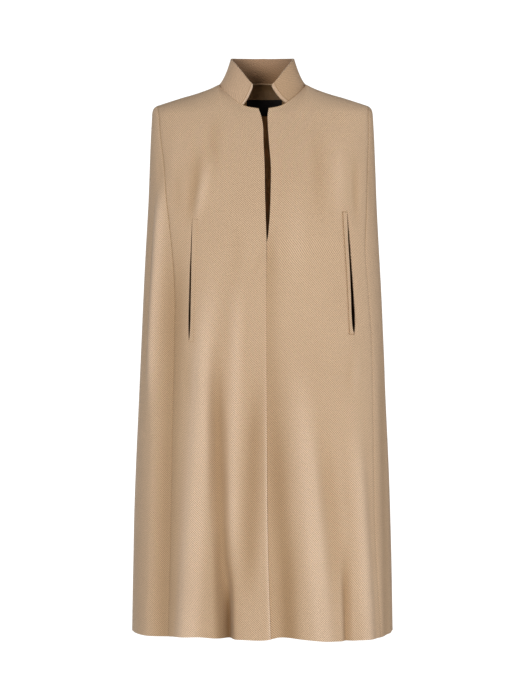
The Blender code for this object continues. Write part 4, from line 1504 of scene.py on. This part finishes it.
def tube(name, line, radius, material, sides=10):
    """A round cord along a line, closed at its ends."""
    line = np.asarray(line)
    ahead = unit(np.gradient(line, axis=0))
    level = unit(np.cross(ahead, (0.0, 0.0, 1.0)))
    up = np.cross(level, ahead)
    turns = np.arange(sides) * math.tau / sides
    ring = level[:, None] * np.cos(turns)[:, None] + up[:, None] * np.sin(turns)[:, None]
    vertices = (line[:, None] + radius * ring).reshape(-1, 3)
    faces = [
        (n * sides + k, n * sides + (k + 1) % sides, (n + 1) * sides + (k + 1) % sides,
         (n + 1) * sides + k)
        for n in range(len(line) - 1) for k in range(sides)
    ]
    faces += [tuple(range(sides))[::-1], tuple(len(vertices) - sides + k for k in range(sides))]
    mesh = bpy.data.meshes.new(name)
    mesh.from_pydata(vertices.tolist(), [], faces)
    mesh.shade_smooth()
    mesh.materials.append(material)
    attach(placed(name, mesh), "root")


def welt_stitches(side):
    """Two lines of stitches over each of a welt's ends."""
    top = moved_out(welt_points(side), THREAD_RADIUS / 2)
    last_row, last_column = len(top) - 1, top.shape[1] - 1
    rows = [*END_STITCH_ROWS, *(last_row - row for row in END_STITCH_ROWS[::-1])]
    return list(between(top, np.array(rows), np.linspace(0.5, last_column - 0.5, 6)))


wool_thread = make_thread("camel thread", (0.50, 0.33, 0.19, 1), (0.36, 0.22, 0.12, 1))
stitches = stitch_nodes()
for side in ("right", "left"):
    sew(f"welt_{side}_stitches", welt_stitches(side), stitches, wool_thread)
inner_neck = moved_out(back, -(COLLAR_WALL + PIPING_OFF * PIPING_RADIUS))
inner_neck = inner_neck[0, back_start:back_stop + 1]
piping_satin = make_thread("neck piping", (0.66, 0.44, 0.26, 1), (0.52, 0.34, 0.19, 1))
tube("neck_piping", inner_neck + np.array((0, 0, PIPING_RADIUS)), PIPING_RADIUS, piping_satin)

# The studio: a pale floor below the hem, a white surround and large soft lamps in front.
FLOOR_HEIGHT = -1.62
FLOOR_RADIUS = 2.4
FLOOR_SIDES = 96
SURROUND_SEEN = 1.15
SURROUND_LIT = 0.14
# Each lamp's name, place, target, size and power.
LAMPS = (
    ("key", (-1.2, -4.4, -0.70), (0, 0, -0.5), (1.3, 1.3), 119),
    ("fill", (1.9, -4.0, -0.55), (0, 0, -0.5), (1.6, 1.6), 45),
    ("left side", (-3.4, -0.7, -0.6), (0, 0, -0.5), (1.2, 2.0), 14),
    ("right side", (3.4, -0.7, -0.6), (0, 0, -0.5), (1.2, 2.0), 38),
    ("back", (-0.9, 4.4, -0.3), (0, 0, -0.5), (2.2, 2.2), 110),
    ("top", (0.0, -0.6, 2.6), (0, 0, -0.2), (1.6, 1.6), 14),
)
# The photo's rows span this many metres at the cape, seen from this far, level with this height.
PHOTO_SPAN = 700 * 0.0019
CAMERA_AWAY = 4.3
CAMERA_HEIGHT = -0.5016
SENSOR_WIDTH = 36.0


def add_floor():
    mesh = bpy.data.meshes.new("studio_floor")
    turns = [math.tau * n / FLOOR_SIDES for n in range(FLOOR_SIDES)]
    rim = [(FLOOR_RADIUS * math.cos(t), FLOOR_RADIUS * math.sin(t), FLOOR_HEIGHT) for t in turns]
    mesh.from_pydata(rim, [], [tuple(range(FLOOR_SIDES))])
    floor = placed("studio_floor", mesh)
    paint = Nodes("pale floor")
    place = paint.add("ShaderNodeTexCoord", output=3)
    tone = paint.spread(paint.noise(place, 3.0))
    floor.visible_diffuse = False
    floor.visible_glossy = False
    mesh.materials.append(paint.finished({
        "Base Color": paint.mix(tone, (0.93, 0.93, 0.93, 1), (0.95, 0.95, 0.95, 1)),
        "Roughness": 0.9,
        "Emission Color": (1, 1, 1, 1),
        "Emission Strength": 0.5,
    }))


def add_lamp(name, place, target, size, power):
    lamp = bpy.data.lights.new(name, "AREA")
    lamp.shape = "RECTANGLE"
    lamp.size, lamp.size_y = size
    lamp.energy = power
    holder = placed(name, lamp)
    holder.location = place
    way = Vector(target) - Vector(place)
    holder.rotation_euler = way.to_track_quat("-Z", "Y").to_euler()


def add_surround(seen, lit):
    world = bpy.data.worlds.new("white surround")
    world.use_nodes = True
    tree = world.node_tree
    background = tree.nodes["Background"]
    background.inputs["Color"].default_value = (1, 1, 1, 1)
    ray = tree.nodes.new("ShaderNodeLightPath")
    pick = tree.nodes.new("ShaderNodeMapRange")
    tree.links.new(ray.outputs["Is Camera Ray"], pick.inputs[0])
    pick.inputs[3].default_value = lit
    pick.inputs[4].default_value = seen
    tree.links.new(pick.outputs[0], background.inputs["Strength"])
    bpy.context.scene.world = world


def add_camera():
    camera = bpy.data.cameras.new("camera")
    camera.sensor_width = SENSOR_WIDTH
    camera.lens = SENSOR_WIDTH * CAMERA_AWAY / PHOTO_SPAN
    holder = placed("camera", camera)
    holder.location = (0, -CAMERA_AWAY, CAMERA_HEIGHT)
    holder.rotation_euler = (math.radians(90), 0, 0)
    bpy.context.scene.camera = holder


add_floor()
add_surround(SURROUND_SEEN, SURROUND_LIT)
for lamp in LAMPS:
    add_lamp(*lamp)
add_camera()
bpy.context.scene.view_settings.view_transform = "Standard"
